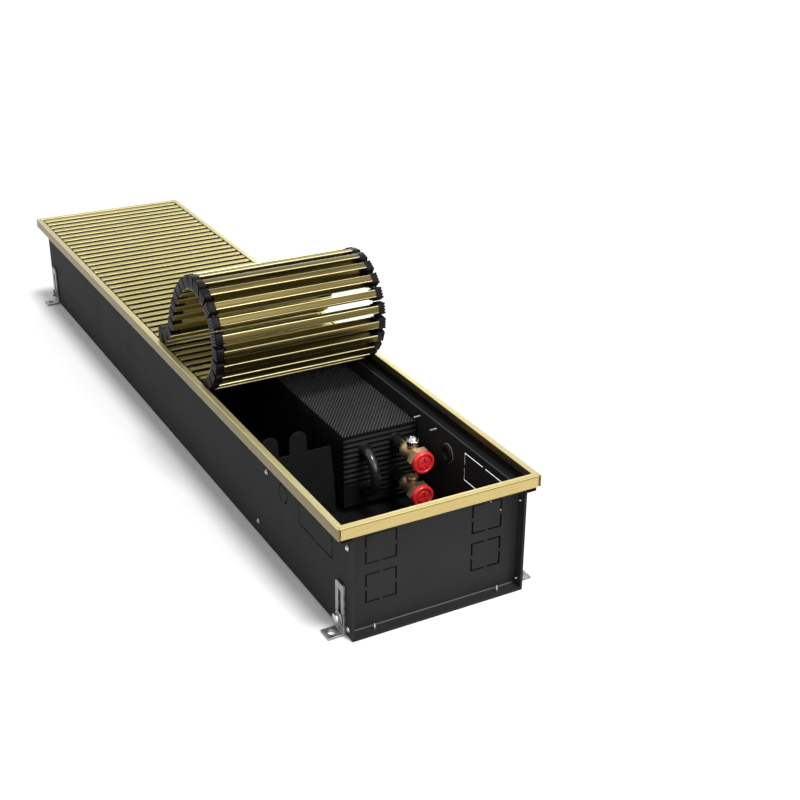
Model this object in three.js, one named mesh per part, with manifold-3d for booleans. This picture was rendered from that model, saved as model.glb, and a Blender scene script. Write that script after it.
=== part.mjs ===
// Trench convector heater with its roll-up grille drawn back from the pipe end.
// Millimetres. +X runs along the trough to the pipe end, +Y across it, +Z up, floor at z = 0.
import * as THREE from 'three';
import { mergeVertices } from 'three/addons/utils/BufferGeometryUtils.js';
import Module from 'manifold-3d';

// ---- Driving dimensions ----
const GAP = 0.3; // clearance kept between pieces that touch
const SHEET = 1.2;
const TROUGH = { halfLength: 531.3, halfWidth: 100, ledgeZ: 116, upstandOut: 111.4, upstandTop: 131.8 };
const FRAME = { halfLength: 533, halfWidth: 115, top: 134, height: 13, width: 7, wall: 2, lipZ: 125.6, lip: 1.6 };
const END = { outerX: 518, flangeX: 531.3 };
const KNOCKOUT = { slot: 1.2, bridge: 3 };
const GRILLE = { pitch: 17.2, firstX: -517, fieldSlats: 39, cableZ: 124.8 };
const SLAT = { halfLength: 106, flange: 8.7, thickness: 1.6, up: 8.8, down: 7.4 };
const CAP = { from: 94, to: 107, middle: 8.1, upper: 7.2, lower: 6.8 };
// Runs of equal bends in the rolled grille: how many slats, and degrees between neighbours.
const CURL_RUNS = [{ slats: 4, bend: 13.4 }, { slats: 10, bend: 16.35 }, { slats: 5, bend: 6.3 }];
const CURL_END_SLATS = 3; // these bend back until the free end lies flat, upside down
const COIL = { nearX: 309, farX: -470, y: [3, 97], z: [10, 100], fins: 32, fin: 0.9, ridges: 14, ridge: 1.6 };
const TUBE = { radius: 6, wall: 1, sides: 8, bendSteps: 8, endX: 332 };
const TUBE_ROWS = { supply: [69, 84], upper: [29, 80], lower: [30, 30], outlet: [69, 41] };
const FITTING = { startX: 316, endX: 364, bore: 8.4, bossX: 348.6 };
const PLUG = { radius: 13.4, length: 12, stem: 8 };
const SCREW = { shank: 1.6, head: 3.2, headHeight: 1.5 };
const FOOT = { x: 509, width: 18, sheet: 2.5, innerY: 100.4, reach: 120, height: 58, slot: [12, 50], slotWidth: 6 };
const BOLT = { z: 17, shank: 2.7, washer: 7.4, head: 6.2 };
const GROMMET = { x: 376, z: 90, hole: 9.5 };
const BRACKET = { x: 295, shoulderZ: 88, tabTop: 115 };

const COLOURS = {
  black: 0x2c2c2e, gold: 0xcdb673, fins: 0x3a3a3c, tube: 0x4a4744, brass: 0xc79a5b,
  red: 0xe0303a, chrome: 0xd8dadd, zinc: 0x9a9c9c, rubber: 0x1c1c1c, steel: 0xb8babd,
};

const wasm = await Module();
wasm.setup();
const { Manifold, Mesh } = wasm;
const group = new THREE.Group();
group.name = 'trench_convector';

// ---- Helpers ----
function toSolid(geometry) {
  const bare = geometry.clone();
  bare.deleteAttribute('normal');
  bare.deleteAttribute('uv');
  const merged = mergeVertices(bare, 1e-3);
  const vertProperties = Float32Array.from(merged.attributes.position.array);
  const triVerts = Uint32Array.from(merged.index.array);
  return new Manifold(new Mesh({ numProp: 3, vertProperties, triVerts }));
}

function addPart(name, solid, colour, metalness = 0.4) {
  const data = solid.getMesh();
  const geometry = new THREE.BufferGeometry();
  geometry.setAttribute('position', new THREE.BufferAttribute(new Float32Array(data.vertProperties), 3));
  geometry.setIndex(new THREE.BufferAttribute(new Uint32Array(data.triVerts), 1));
  geometry.computeVertexNormals();
  const material = new THREE.MeshStandardMaterial({ color: colour, metalness, roughness: 0.5 });
  const mesh = new THREE.Mesh(geometry, material);
  mesh.name = name;
  group.add(mesh);
}

function union(...solids) {
  return Manifold.union(solids);
}

function box([x0, x1], [y0, y1], [z0, z1]) {
  const geometry = new THREE.BoxGeometry(x1 - x0, y1 - y0, z1 - z0);
  geometry.translate((x0 + x1) / 2, (y0 + y1) / 2, (z0 + z1) / 2);
  return toSolid(geometry);
}

// Extrudes a closed outline of [u, v] points from w0 to w1, then sends (u, v, w) to the axes.
function extrude(points, w0, w1, place) {
  const shape = new THREE.Shape(points.map(([u, v]) => new THREE.Vector2(u, v)));
  const geometry = new THREE.ExtrudeGeometry(shape, { depth: w1 - w0, bevelEnabled: false });
  geometry.translate(0, 0, w0);
  return toSolid(geometry.applyMatrix4(place));
}

function extrudeX(pointsYZ, x0, x1) {
  return extrude(pointsYZ, x0, x1, new THREE.Matrix4().set(0, 0, 1, 0, 1, 0, 0, 0, 0, 1, 0, 0, 0, 0, 0, 1));
}

function extrudeY(pointsXZ, y0, y1) {
  const flipped = pointsXZ.map(([x, z]) => [z, x]);
  return extrude(flipped, y0, y1, new THREE.Matrix4().set(0, 1, 0, 0, 0, 0, 1, 0, 1, 0, 0, 0, 0, 0, 0, 1));
}

function extrudeZ(pointsXY, z0, z1) {
  return extrude(pointsXY, z0, z1, new THREE.Matrix4());
}

function circle(u, v, radius, sides = 16, start = 0, sweep = 2 * Math.PI) {
  const full = sweep > 6.2;
  const steps = full ? sides : sides + 1;
  return Array.from({ length: steps }, (_, i) => {
    const angle = start + (sweep * i) / sides;
    return [u + radius * Math.cos(angle), v + radius * Math.sin(angle)];
  });
}

// Turns a [radius, x] profile about the X axis, centred on (y, z).
function turnX(profile, y, z, sides = 16) {
  const points = profile.map(([radius, x]) => new THREE.Vector2(radius, x));
  const geometry = new THREE.LatheGeometry(points, sides);
  geometry.rotateZ(-Math.PI / 2);
  geometry.translate(0, y, z);
  return toSolid(geometry);
}

function mirrored(points) {
  return points.map(([u, v]) => [-u, v]);
}

// Slots that outline a knock-out panel, with one bridge left in the middle of each side.
function panelSlots([u0, u1], [v0, v1], [w0, w1], makeBox) {
  const { slot, bridge } = KNOCKOUT;
  const um = (u0 + u1) / 2;
  const vm = (v0 + v1) / 2;
  const ring = makeBox([u0, u1], [v0, v1], [w0, w1])
    .subtract(makeBox([u0 + slot, u1 - slot], [v0 + slot, v1 - slot], [w0 - 1, w1 + 1]));
  const across = makeBox([u0 - 1, u1 + 1], [vm - bridge / 2, vm + bridge / 2], [w0 - 1, w1 + 1]);
  const upright = makeBox([um - bridge / 2, um + bridge / 2], [v0 - 1, v1 + 1], [w0 - 1, w1 + 1]);
  return ring.subtract(across).subtract(upright);
}

// ---- Casing ----
const SIDE_SCREWS = [[524, 105], [524, 11]]; // x and z, on both walls of the pipe end
const FLOOR_SCREW = { x: 525, y: 72 };
const WALL_SCREWS = [[313, 108.5], [350, 108.5]]; // x and z, on the coil side's wall

function trough() {
  const { halfLength, halfWidth, ledgeZ, upstandOut, upstandTop } = TROUGH;
  const inner = halfWidth - SHEET;
  const right = [
    [halfWidth, 0], [halfWidth, ledgeZ], [upstandOut, ledgeZ], [upstandOut, upstandTop],
    [upstandOut - SHEET, upstandTop], [upstandOut - SHEET, ledgeZ + SHEET], [inner, ledgeZ + SHEET],
    [inner, SHEET],
  ];
  const left = mirrored(right).reverse();
  let body = extrudeX([...right, ...left], -halfLength, halfLength);
  for (const end of [-1, 1]) {
    const cut = [530.5 * end, 540 * end].sort((a, b) => a - b);
    body = body.subtract(box(cut, [-120, 120], [ledgeZ + SHEET + 0.01, 140]));
  }
  return body.subtract(union(...wallCuts(), ...boltHoles()));
}

function wallCuts() {
  const sideBox = ([x0, x1], [z0, z1], [y0, y1]) => box([x0, x1], [y0, y1], [z0, z1]);
  const cuts = [];
  for (const side of [-1, 1]) {
    const wall = side < 0 ? [-101, -98] : [98, 101];
    cuts.push(panelSlots([410, 490], [72, 107], wall, sideBox));
    for (const [x, z] of SIDE_SCREWS) {
      cuts.push(extrudeY(circle(x, z, SCREW.shank + GAP + 0.05, 8), ...wall));
    }
    cuts.push(extrudeZ(circle(FLOOR_SCREW.x, side * FLOOR_SCREW.y, SCREW.head + GAP, 10), -1, 2));
  }
  for (const [x, z] of WALL_SCREWS) {
    cuts.push(extrudeY(circle(x, z, SCREW.shank + GAP + 0.05, 8), 98, 101));
  }
  cuts.push(extrudeY(circle(GROMMET.x, GROMMET.z, GROMMET.hole, 20), 98, 101));
  cuts.push(...roundKnockout(371, 88, 11.5));
  return cuts;
}

// Two arc slots in the left wall that outline a round knock-out.
function roundKnockout(x, z, radius) {
  return [0.25, Math.PI + 0.25].map((start) => {
    const outer = circle(x, z, radius, 10, start, Math.PI - 0.5);
    const inner = circle(x, z, radius - KNOCKOUT.slot, 10, start, Math.PI - 0.5).reverse();
    return extrudeY([...outer, ...inner], -101, -98);
  });
}

function boltHoles() {
  return [-1, 1].map((end) => extrudeY(circle(end * FOOT.x, BOLT.z, BOLT.shank + GAP, 12), -101, 101));
}

function endPlate(end) {
  const { outerX, flangeX } = END;
  const { ledgeZ, upstandTop } = TROUGH;
  const inX = outerX - SHEET;
  const low = SHEET + GAP;
  const lip = 529.4;
  const sheetY = TROUGH.halfWidth - SHEET - GAP;
  const profile = [
    [inX, low], [flangeX, low], [flangeX, low + SHEET], [outerX, low + SHEET], [outerX, ledgeZ],
    [lip, ledgeZ], [lip, upstandTop], [lip - SHEET, upstandTop], [lip - SHEET, ledgeZ + SHEET],
    [inX, ledgeZ + SHEET],
  ];
  let plate = extrudeY(profile, -sheetY, sheetY);
  for (const side of [-1, 1]) {
    const flange = [side * sheetY, side * (sheetY - SHEET)].sort((a, b) => a - b);
    plate = plate.add(box([inX, flangeX], flange, [low, ledgeZ - GAP]));
  }
  plate = plate.subtract(union(...endPlateCuts(sheetY)));
  return end > 0 ? plate : plate.mirror([1, 0, 0]);
}

function endPlateCuts(sheetY) {
  const endBox = ([y0, y1], [z0, z1], [x0, x1]) => box([x0, x1], [y0, y1], [z0, z1]);
  const cuts = [];
  for (const side of [-1, 1]) {
    const span = side < 0 ? [-79, -43] : [43, 79];
    for (const level of [[31, 65], [75.5, 109.5]]) {
      cuts.push(panelSlots(span, level, [END.outerX - 2, END.outerX + 1], endBox));
    }
    const flange = side < 0 ? [-sheetY - 1, -sheetY + 2] : [sheetY - 2, sheetY + 1];
    for (const [x, z] of SIDE_SCREWS) {
      cuts.push(extrudeY(circle(x, z, SCREW.shank + GAP + 0.05, 8), ...flange));
    }
    cuts.push(extrudeZ(circle(FLOOR_SCREW.x, side * FLOOR_SCREW.y, SCREW.shank + GAP, 8), 1, 4));
  }
  return cuts;
}

// ---- Frame of four anodised rails, mitred on top ----
function railSection(outer) {
  const { top, height, width, wall, lipZ, lip } = FRAME;
  const inner = outer - width;
  return [
    [outer, top - height], [outer, top], [inner, top], [inner, lipZ], [inner + lip, lipZ],
    [inner + lip, top - 1.8], [outer - wall, top - 1.8], [outer - wall, top - height],
  ];
}

function sideRail(side) {
  const { halfLength, halfWidth, wall } = FRAME;
  const shift = halfLength - halfWidth - 0.15;
  const inside = halfWidth - wall;
  let rail = extrudeX(railSection(halfWidth), -halfLength, halfLength);
  const corner = [[95 + shift, 95], [inside + shift, inside], [550, inside], [550, 95]];
  for (const points of [corner, mirrored(corner)]) {
    rail = rail.subtract(extrudeZ(points, 110, 140));
  }
  return side > 0 ? rail : rail.mirror([0, 1, 0]);
}

function endRail(end) {
  const { halfLength, halfWidth, wall, top } = FRAME;
  const shift = halfLength - halfWidth + 0.15;
  const limit = halfWidth - wall - GAP;
  let rail = extrudeY(railSection(halfLength), -halfWidth, halfWidth);
  for (const side of [-1, 1]) {
    const cut = [[95 + shift, 95], [limit + shift, limit], [550, limit], [550, 130], [500, 130], [500, 95]];
    const points = cut.map(([x, y]) => [x, side * y]);
    rail = rail.subtract(extrudeZ(points, 110, 140));
    const slit = side < 0 ? [-120, -111.8] : [111.8, 120];
    rail = rail.subtract(box([520, 540], slit, [110, top - 1.8]));
  }
  return end > 0 ? rail : rail.mirror([1, 0, 0]);
}

// ---- Roll-up grille ----
function slatSection() {
  const half = SLAT.flange / 2;
  const web = SLAT.thickness / 2;
  const { up, down, thickness } = SLAT;
  const right = [
    [half, up - thickness], [half, up], [-half, up], [-half, up - thickness], [-web, up - thickness],
    [-web, thickness - down], [-half, thickness - down], [-half, -down], [half, -down],
    [half, thickness - down], [web, thickness - down], [web, up - thickness],
  ];
  return right;
}

// A slat's metal bar about its cable line.
function slatBar() {
  return extrudeY(slatSection(), -SLAT.halfLength, SLAT.halfLength);
}

// The bar with the moulded cap that clasps each end.
function cappedSlat() {
  const { from, to, middle, upper, lower } = CAP;
  const top = SLAT.up - SLAT.thickness / 2;
  const bottom = -SLAT.down;
  const outline = [[lower, bottom], [middle, 0], [upper, top], [-upper, top], [-middle, 0], [-lower, bottom]];
  return union(slatBar(), extrudeY(outline, from, to), extrudeY(outline, -to, -from));
}

function fieldEndX() {
  return GRILLE.firstX + (GRILLE.fieldSlats - 0.5) * GRILLE.pitch;
}

// The flat part, its slat caps closed up into one strip along each edge.
function grilleField(model) {
  const { pitch, firstX, fieldSlats, cableZ } = GRILLE;
  const slats = Array.from({ length: fieldSlats }, (_, i) => model.translate([firstX + i * pitch, 0, cableZ]));
  const span = [firstX - CAP.middle, firstX + (fieldSlats - 1) * pitch + CAP.middle];
  const level = [cableZ - SLAT.down, cableZ + SLAT.up - SLAT.thickness / 2];
  const edges = [[-CAP.to, -CAP.from], [CAP.from, CAP.to]].map((y) => box(span, y, level));
  return union(...slats, ...edges);
}

function curlBends() {
  const bends = CURL_RUNS.flatMap(({ slats, bend }) => Array(slats).fill(bend));
  const turned = bends.reduce((sum, bend) => sum + bend, 0);
  return [...bends, ...Array(CURL_END_SLATS).fill((180 - turned) / CURL_END_SLATS)];
}

function addRolledSlats(model) {
  let angle = 0;
  let x = fieldEndX();
  let z = GRILLE.cableZ;
  curlBends().forEach((bend, i) => {
    angle += bend;
    const run = GRILLE.pitch * Math.cos((angle * Math.PI) / 180);
    const rise = GRILLE.pitch * Math.sin((angle * Math.PI) / 180);
    const placed = model.rotate([0, -angle, 0]).translate([x + run / 2, 0, z + rise / 2]);
    addPart(`grille_slat_${String(i + 1).padStart(2, '0')}`, placed, COLOURS.gold, 0.8);
    x += run;
    z += rise;
  });
}

// ---- Heat exchanger ----
function tubeRun([y, z], radius, x0, x1) {
  return extrudeX(circle(y, z, radius, TUBE.sides), x0, x1);
}

// The tube's centre line: four straight runs joined by half-round return bends.
function coilStations(extra) {
  const { supply, upper, lower, outlet } = TUBE_ROWS;
  const near = COIL.nearX + 1.5;
  const far = COIL.farX - 2;
  const end = TUBE.endX + extra;
  const stations = [new THREE.Vector3(end, ...supply)];
  for (const [x, from, to, way] of [[far, supply, upper, -1], [near, upper, lower, 1], [far, lower, outlet, -1]]) {
    const start = new THREE.Vector3(x, ...from);
    const finish = new THREE.Vector3(x, ...to);
    const radius = start.distanceTo(finish) / 2;
    for (let i = 0; i <= TUBE.bendSteps; i += 1) {
      const angle = (Math.PI * i) / TUBE.bendSteps;
      const point = start.clone().lerp(finish, (1 - Math.cos(angle)) / 2);
      point.x += way * radius * Math.sin(angle);
      stations.push(point);
    }
  }
  stations.push(new THREE.Vector3(end, ...outlet));
  return stations;
}

// A path that passes through its stations at even steps, however far apart they are.
class StationPath extends THREE.Curve {
  constructor(stations) {
    super();
    this.stations = stations;
  }

  getPoint(t, target = new THREE.Vector3()) {
    const place = Math.min(Math.max(t, 0), 1) * (this.stations.length - 1);
    const i = Math.min(Math.floor(place), this.stations.length - 2);
    return target.lerpVectors(this.stations[i], this.stations[i + 1], place - i);
  }

  getPointAt(u, target) {
    return this.getPoint(u, target);
  }

  getTangentAt(u, target = new THREE.Vector3()) {
    const place = u * (this.stations.length - 1);
    const i = Math.min(Math.max(Math.round(place), 0), this.stations.length - 1);
    const before = this.stations[Math.max(i - 1, 0)];
    const here = this.stations[i];
    const after = this.stations[Math.min(i + 1, this.stations.length - 1)];
    const arriving = here.clone().sub(before).normalize();
    const leaving = after.clone().sub(here).normalize();
    return target.copy(arriving.add(leaving)).normalize();
  }
}

function sweepCoil(radius, extra) {
  const outline = circle(0, 0, radius, TUBE.sides).map(([u, v]) => new THREE.Vector2(u, v));
  const stations = coilStations(extra);
  const options = { steps: stations.length - 1, extrudePath: new StationPath(stations) };
  return toSolid(new THREE.ExtrudeGeometry(new THREE.Shape(outline), options));
}

function coilTube() {
  return sweepCoil(TUBE.radius, 0).subtract(sweepCoil(TUBE.radius - TUBE.wall, 2));
}

// Fins on collars around the tubes, closed at the pipe end by a ridged plate.
function finPack() {
  const { nearX, farX, y, z, fins, fin, ridges, ridge } = COIL;
  const pitch = (nearX - 6 - farX) / (fins - 1);
  const sheets = Array.from({ length: fins }, (_, i) => box([farX + i * pitch, farX + i * pitch + fin], y, z));
  const step = (z[1] - z[0]) / (2 * ridges);
  const front = Array.from({ length: 2 * ridges + 1 }, (_, i) => [nearX - (i % 2) * ridge, z[0] + i * step]);
  const back = front.map(([x, level]) => [x - 1, level]).reverse();
  const rows = Object.values(TUBE_ROWS);
  const collars = rows.map(([v, w]) => extrudeX(circle(v, w, TUBE.radius + 4, 4), farX, nearX - 0.5));
  const bores = rows.map((row) => tubeRun(row, TUBE.radius + GAP + 0.1, farX - 5, nearX + 5));
  return union(...sheets, extrudeY([...front, ...back], ...y), ...collars).subtract(union(...bores));
}

function coilSupport(x) {
  const low = SHEET + GAP;
  const upright = box([x, x + 2], [12, 88], [low, COIL.z[0] - GAP]);
  return upright.add(box([x, x + 16], [12, 88], [low, low + SHEET]));
}

// ---- Pipe fittings ----
function fitting([y, z]) {
  const { startX, endX, bore, bossX } = FITTING;
  const body = turnX([
    [TUBE.radius + GAP + 0.1, startX], [8.6, startX + 1], [9.4, startX + 8], [9.4, startX + 20], [7.6, startX + 25],
    [7.6, startX + 28], [10.6, startX + 32], [10.6, startX + 41], [13.4, startX + 42], [13.4, endX],
    [bore, endX], [bore, startX + 34], [TUBE.radius - TUBE.wall, startX + 26],
    [TUBE.radius - TUBE.wall, TUBE.endX + GAP], [TUBE.radius + GAP + 0.1, TUBE.endX + GAP],
    [TUBE.radius + GAP + 0.1, startX],
  ], y, z);
  const boss = extrudeZ(circle(bossX, y, 6.4, 12), z + 9, z + 12.5);
  return body.add(boss).subtract(extrudeZ(circle(bossX, y, 3.2, 8), z + 7.5, z + 13));
}

function plug([y, z]) {
  const start = FITTING.endX + GAP;
  const face = start + PLUG.length;
  const disc = turnX([
    [0, 354], [PLUG.stem, 354], [PLUG.stem, start], [PLUG.radius, start], [PLUG.radius, face - 1],
    [PLUG.radius - 1, face], [9.4, face], [9.4, face - 1], [7.6, face - 1], [7.6, face], [0, face],
  ], y, z);
  const cross = [[1.1, 6.4], [6.4, 1.1]].map(([a, b]) => box([face - 1.2, face + 1], [y - a, y + a], [z - b, z + b]));
  return disc.subtract(union(...cross));
}

function ventScrew([y, z]) {
  const x = FITTING.bossX;
  const low = z + 12.5 + GAP;
  const head = extrudeZ(knurl(x, y, 8.4, 7.6, 16), low, low + 8);
  const dome = extrudeZ(circle(x, y, 5.6, 12), low + 7.9, low + 10);
  const stem = extrudeZ(circle(x, y, 2.8, 8), z + 8.4, low + 1);
  return union(head, dome, stem).subtract(box([x - 9, x + 9], [y - 0.7, y + 0.7], [low + 8.8, low + 12]));
}

function knurl(u, v, outer, inner, teeth) {
  return Array.from({ length: 2 * teeth }, (_, i) => {
    const radius = i % 2 ? inner : outer;
    const angle = (Math.PI * i) / teeth;
    return [u + radius * Math.cos(angle), v + radius * Math.sin(angle)];
  });
}

function drainScrew([y, z]) {
  const x = FITTING.bossX;
  const low = z + 12.5 + GAP;
  const head = extrudeZ(circle(x, y, 6.6, 14), low, low + 4.5);
  const stem = extrudeZ(circle(x, y, 2.8, 8), z + 8.4, low + 1);
  return head.add(stem).subtract(box([x - 9, x + 9], [y - 0.7, y + 0.7], [low + 3.3, low + 6]));
}

// ---- Small pieces ----
// Upright plate across the air channel, with two rounded tabs and a flange on the left wall.
function channelBracket() {
  const { x, shoulderZ, tabTop } = BRACKET;
  const low = SHEET + GAP;
  const left = -(TROUGH.halfWidth - SHEET - GAP);
  const panel = [[left, low], [-2, low], [-3, 30], [-5, 60], [-8, shoulderZ], [left, shoulderZ]];
  const tabs = [-82, -47.5].map((y) => {
    const half = 10.6;
    const arc = circle(y, tabTop - half, half, 10, 0, Math.PI);
    return extrudeX([...arc, [y - half, shoulderZ - 1], [y + half, shoulderZ - 1]], x, x + SHEET);
  });
  const flange = box([x, x + 38], [left, left + SHEET], [low + 6, 104]);
  return union(extrudeX(panel, x, x + SHEET), flange, ...tabs);
}

function foot(end, side) {
  const { x, width, sheet, innerY, reach, height, slot, slotWidth } = FOOT;
  const left = x - width / 2;
  const right = x + width / 2;
  const leg = box([left, right], [innerY, innerY + sheet], [0, height]);
  const base = box([left, right], [innerY, reach], [0, sheet]);
  const hole = extrudeZ(circle(x, 112, 4, 12), -1, sheet + 1);
  const opening = box([x - slotWidth / 2, x + slotWidth / 2], [innerY - 1, innerY + sheet + 1], slot);
  let bracket = leg.add(base).subtract(hole).subtract(opening);
  if (side < 0) bracket = bracket.mirror([0, 1, 0]);
  return end < 0 ? bracket.mirror([1, 0, 0]) : bracket;
}

function footBolt(end, side) {
  const { z, shank, washer, head } = BOLT;
  const x = end * FOOT.x;
  const outer = FOOT.innerY + FOOT.sheet + GAP;
  const inner = TROUGH.halfWidth - SHEET - GAP;
  const bolt = union(
    extrudeY(circle(x, z, shank, 10), inner - 4, outer + 1),
    extrudeY(circle(x, z, washer, 14), outer, outer + 1.4),
    extrudeY(circle(x, z, head, 6), outer + 1.3, outer + 5.6),
    extrudeY(circle(x, z, head, 6), inner - 4.5, inner),
  );
  return side < 0 ? bolt.mirror([0, 1, 0]) : bolt;
}

// Self-tapping screw driven through a side wall, its point inside.
function wallScrew(x, z, side) {
  const outer = TROUGH.halfWidth + GAP;
  const points = [
    [0, 89.5], [SCREW.shank, 92], [SCREW.shank, outer], [SCREW.head, outer],
    [SCREW.head * 0.7, outer + SCREW.headHeight], [0, outer + SCREW.headHeight],
  ];
  const solid = turnX(points, 0, 0, 8).rotate([0, 0, 90]).translate([x, 0, z]);
  return side < 0 ? solid.mirror([0, 1, 0]) : solid;
}

function floorScrew(side) {
  const points = [[0, 0.1], [SCREW.head, 0.1], [SCREW.head, 1], [SCREW.shank, 1.1], [SCREW.shank, 8.6], [0, 11]];
  return turnX(points, 0, 0, 8).rotate([0, -90, 0]).translate([FLOOR_SCREW.x, side * FLOOR_SCREW.y, 0]);
}

function grommet() {
  const wall = TROUGH.halfWidth;
  const neck = GROMMET.hole - GAP;
  const points = [
    [0, wall - 1], [6, wall - 1], [7.5, wall - 4.5], [10.8, wall - 4], [10.8, wall - SHEET - GAP],
    [neck, wall - SHEET - GAP], [neck, wall + GAP], [11.6, wall + GAP], [11.2, wall + 4], [8.5, wall + 6],
    [6, wall + 5.5], [5, wall + 1], [0, wall + 1],
  ];
  return turnX(points, 0, 0).rotate([0, 0, 90]).translate([GROMMET.x, 0, GROMMET.z]);
}

// ---- Assembly ----
addPart('trough', trough(), COLOURS.black, 0.2);
addPart('end_plate_near', endPlate(1), COLOURS.black, 0.2);
addPart('end_plate_far', endPlate(-1), COLOURS.black, 0.2);
addPart('side_rail_left', sideRail(-1), COLOURS.gold, 0.8);
addPart('side_rail_right', sideRail(1), COLOURS.gold, 0.8);
addPart('end_rail_near', endRail(1), COLOURS.gold, 0.8);
addPart('end_rail_far', endRail(-1), COLOURS.gold, 0.8);

addPart('grille_field', grilleField(slatBar()), COLOURS.gold, 0.8);
addRolledSlats(cappedSlat());

addPart('fin_pack', finPack(), COLOURS.fins, 0.3);
addPart('coil_tube', coilTube(), COLOURS.tube, 0.6);
addPart('coil_support_near', coilSupport(270), COLOURS.black, 0.2);
addPart('coil_support_far', coilSupport(-440), COLOURS.black, 0.2);
addPart('supply_fitting', fitting(TUBE_ROWS.supply), COLOURS.brass, 0.9);
addPart('outlet_fitting', fitting(TUBE_ROWS.outlet), COLOURS.brass, 0.9);
addPart('supply_plug', plug(TUBE_ROWS.supply), COLOURS.red, 0);
addPart('outlet_plug', plug(TUBE_ROWS.outlet), COLOURS.red, 0);
addPart('vent_screw', ventScrew(TUBE_ROWS.supply), COLOURS.chrome, 1);
addPart('drain_screw', drainScrew(TUBE_ROWS.outlet), COLOURS.brass, 0.9);
addPart('channel_bracket', channelBracket(), COLOURS.black, 0.2);
addPart('cable_grommet', grommet(), COLOURS.rubber, 0);

for (const [side, sideName] of [[-1, 'left'], [1, 'right']]) {
  for (const [end, endName] of [[1, 'near'], [-1, 'far']]) {
    addPart(`foot_${endName}_${sideName}`, foot(end, side), COLOURS.zinc, 0.7);
    addPart(`foot_bolt_${endName}_${sideName}`, footBolt(end, side), COLOURS.steel, 0.8);
  }
  SIDE_SCREWS.forEach(([x, z], i) => {
    addPart(`end_screw_${sideName}_${i + 1}`, wallScrew(x, z, side), COLOURS.steel, 0.8);
  });
  addPart(`floor_screw_${sideName}`, floorScrew(side), COLOURS.steel, 0.8);
}
WALL_SCREWS.forEach(([x, z], i) => {
  addPart(`wall_screw_${i + 1}`, wallScrew(x, z, 1), COLOURS.steel, 0.8);
});

export default group;
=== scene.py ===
import math

import bmesh
import bpy
from bpy.props import FloatProperty, FloatVectorProperty, IntProperty, PointerProperty
from mathutils import Matrix, Vector


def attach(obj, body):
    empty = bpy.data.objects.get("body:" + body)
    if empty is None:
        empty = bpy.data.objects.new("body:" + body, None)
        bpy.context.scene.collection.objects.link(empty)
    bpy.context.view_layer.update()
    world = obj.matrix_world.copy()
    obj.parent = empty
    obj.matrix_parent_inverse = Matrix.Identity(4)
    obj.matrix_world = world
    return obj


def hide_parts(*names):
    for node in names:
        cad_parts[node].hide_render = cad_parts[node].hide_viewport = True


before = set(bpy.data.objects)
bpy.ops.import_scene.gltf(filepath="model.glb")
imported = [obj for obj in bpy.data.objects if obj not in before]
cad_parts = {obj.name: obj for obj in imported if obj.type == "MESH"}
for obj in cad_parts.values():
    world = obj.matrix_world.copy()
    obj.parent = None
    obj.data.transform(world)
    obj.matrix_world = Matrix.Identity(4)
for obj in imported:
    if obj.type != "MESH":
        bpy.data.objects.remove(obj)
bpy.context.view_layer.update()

bl_info = {
    "name": "Trench Convector",
    "version": (1, 0, 0),
    "blender": (4, 5, 0),
    "location": "3D View > Sidebar > Convector",
    "description": "Builds the pieces and finishes of a trench convector heater around its solid frame",
    "category": "Add Mesh",
}

MM = 0.001
CASING = "casing"

# Sizes below are in millimetres, in the frame's axes: +X to the pipe end, +Y across, +Z up.
# Casing: thickness of its sheet, faces of its walls, ledges and upstands, and its knock-outs; then the rim.
SHEET = 1.2
TROUGH_END = 531.3
WALL = 100
LEDGE = 116
UPSTAND_Y = 111.4
UPSTAND_X = 529.4
UPSTAND_TOP = 131.8
PLATE_X = 518
SIDE_KNOCKOUT = ((410, 490), (72, 107))
ROUND_KNOCKOUT = (371, 88, 11.5)
END_KNOCKOUT = (43, 79)
END_KNOCKOUT_ROWS = ((31, 65), (75.5, 109.5))
RIM_END = 533
RIM_SIDE = 115
RIM_TOP = 134
RIM_DEPTH = 13

# Grille: spacing and count of the slats that lie flat, its two wires, and the bend in degrees between the
# slats of the roll, half a turn in all.
PITCH = 17.2
FIRST_SLAT = -517
FIELD_SLATS = 39
SLAT_END = 106.4
SLAT_FOOT_END = 97.6
WIRE_Y = 101
WIRE_Z = 124.8
CURL = [13.4] * 4 + [16.35] * 10 + [6.3] * 5
CURL += [(180 - sum(CURL)) / 3] * 3

# Exchanger: Y and Z of the pipe's four runs, its radius, the finned block, and the fittings along X.
PIPE_ROWS = {"supply": (69, 84), "upper": (29, 80), "lower": (30, 30), "outlet": (69, 41)}
PIPE = 6
PIPE_END = 332
PACK_X = (-470, 309)
PACK_Y = (3, 97)
PACK_Z = (10, 100)
FACE_X = 304
SHOWN_FINS_X = 118
FITTING_X = (316, 364)
MOUTH_X = 370.3
BOSS_X = 348.6
BOSS_TOP = 11.0

# Channel plate, feet, cable hole (X, Z) and screws (X, Z).
CHANNEL_X = 295
FOOT_X = 509
BOLT_Z = 17
GROMMET = (376, 90)
END_SCREWS = [(524, 105), (524, 11)]
RIGHT_SCREWS = [(313, 108.5), (350, 108.5)]
LEFT_SCREWS = [(331, 95), (302, 19)]

# Camera: place in metres, azimuth, elevation and roll in degrees, and its lens for a film 36 mm wide.
CAMERA_PLACE = (1.49887, -0.58415, 0.78121)
CAMERA_TURN = (-28.96, 25.50, 0.51)
CAMERA_FILM = 36
CAMERA_LENS = 1329.7 / 800 * CAMERA_FILM


# ---- Sizes and colours a user may change ----
def length(name, value, text):
    """A length property in metres, from millimetres."""
    return FloatProperty(name=name, description=text, default=value * MM, min=0, unit="LENGTH", precision=4)


def colour(name, value, text):
    """A colour property."""
    return FloatVectorProperty(name=name, description=text, default=value, size=3, min=0, max=1, subtype="COLOR")


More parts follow.
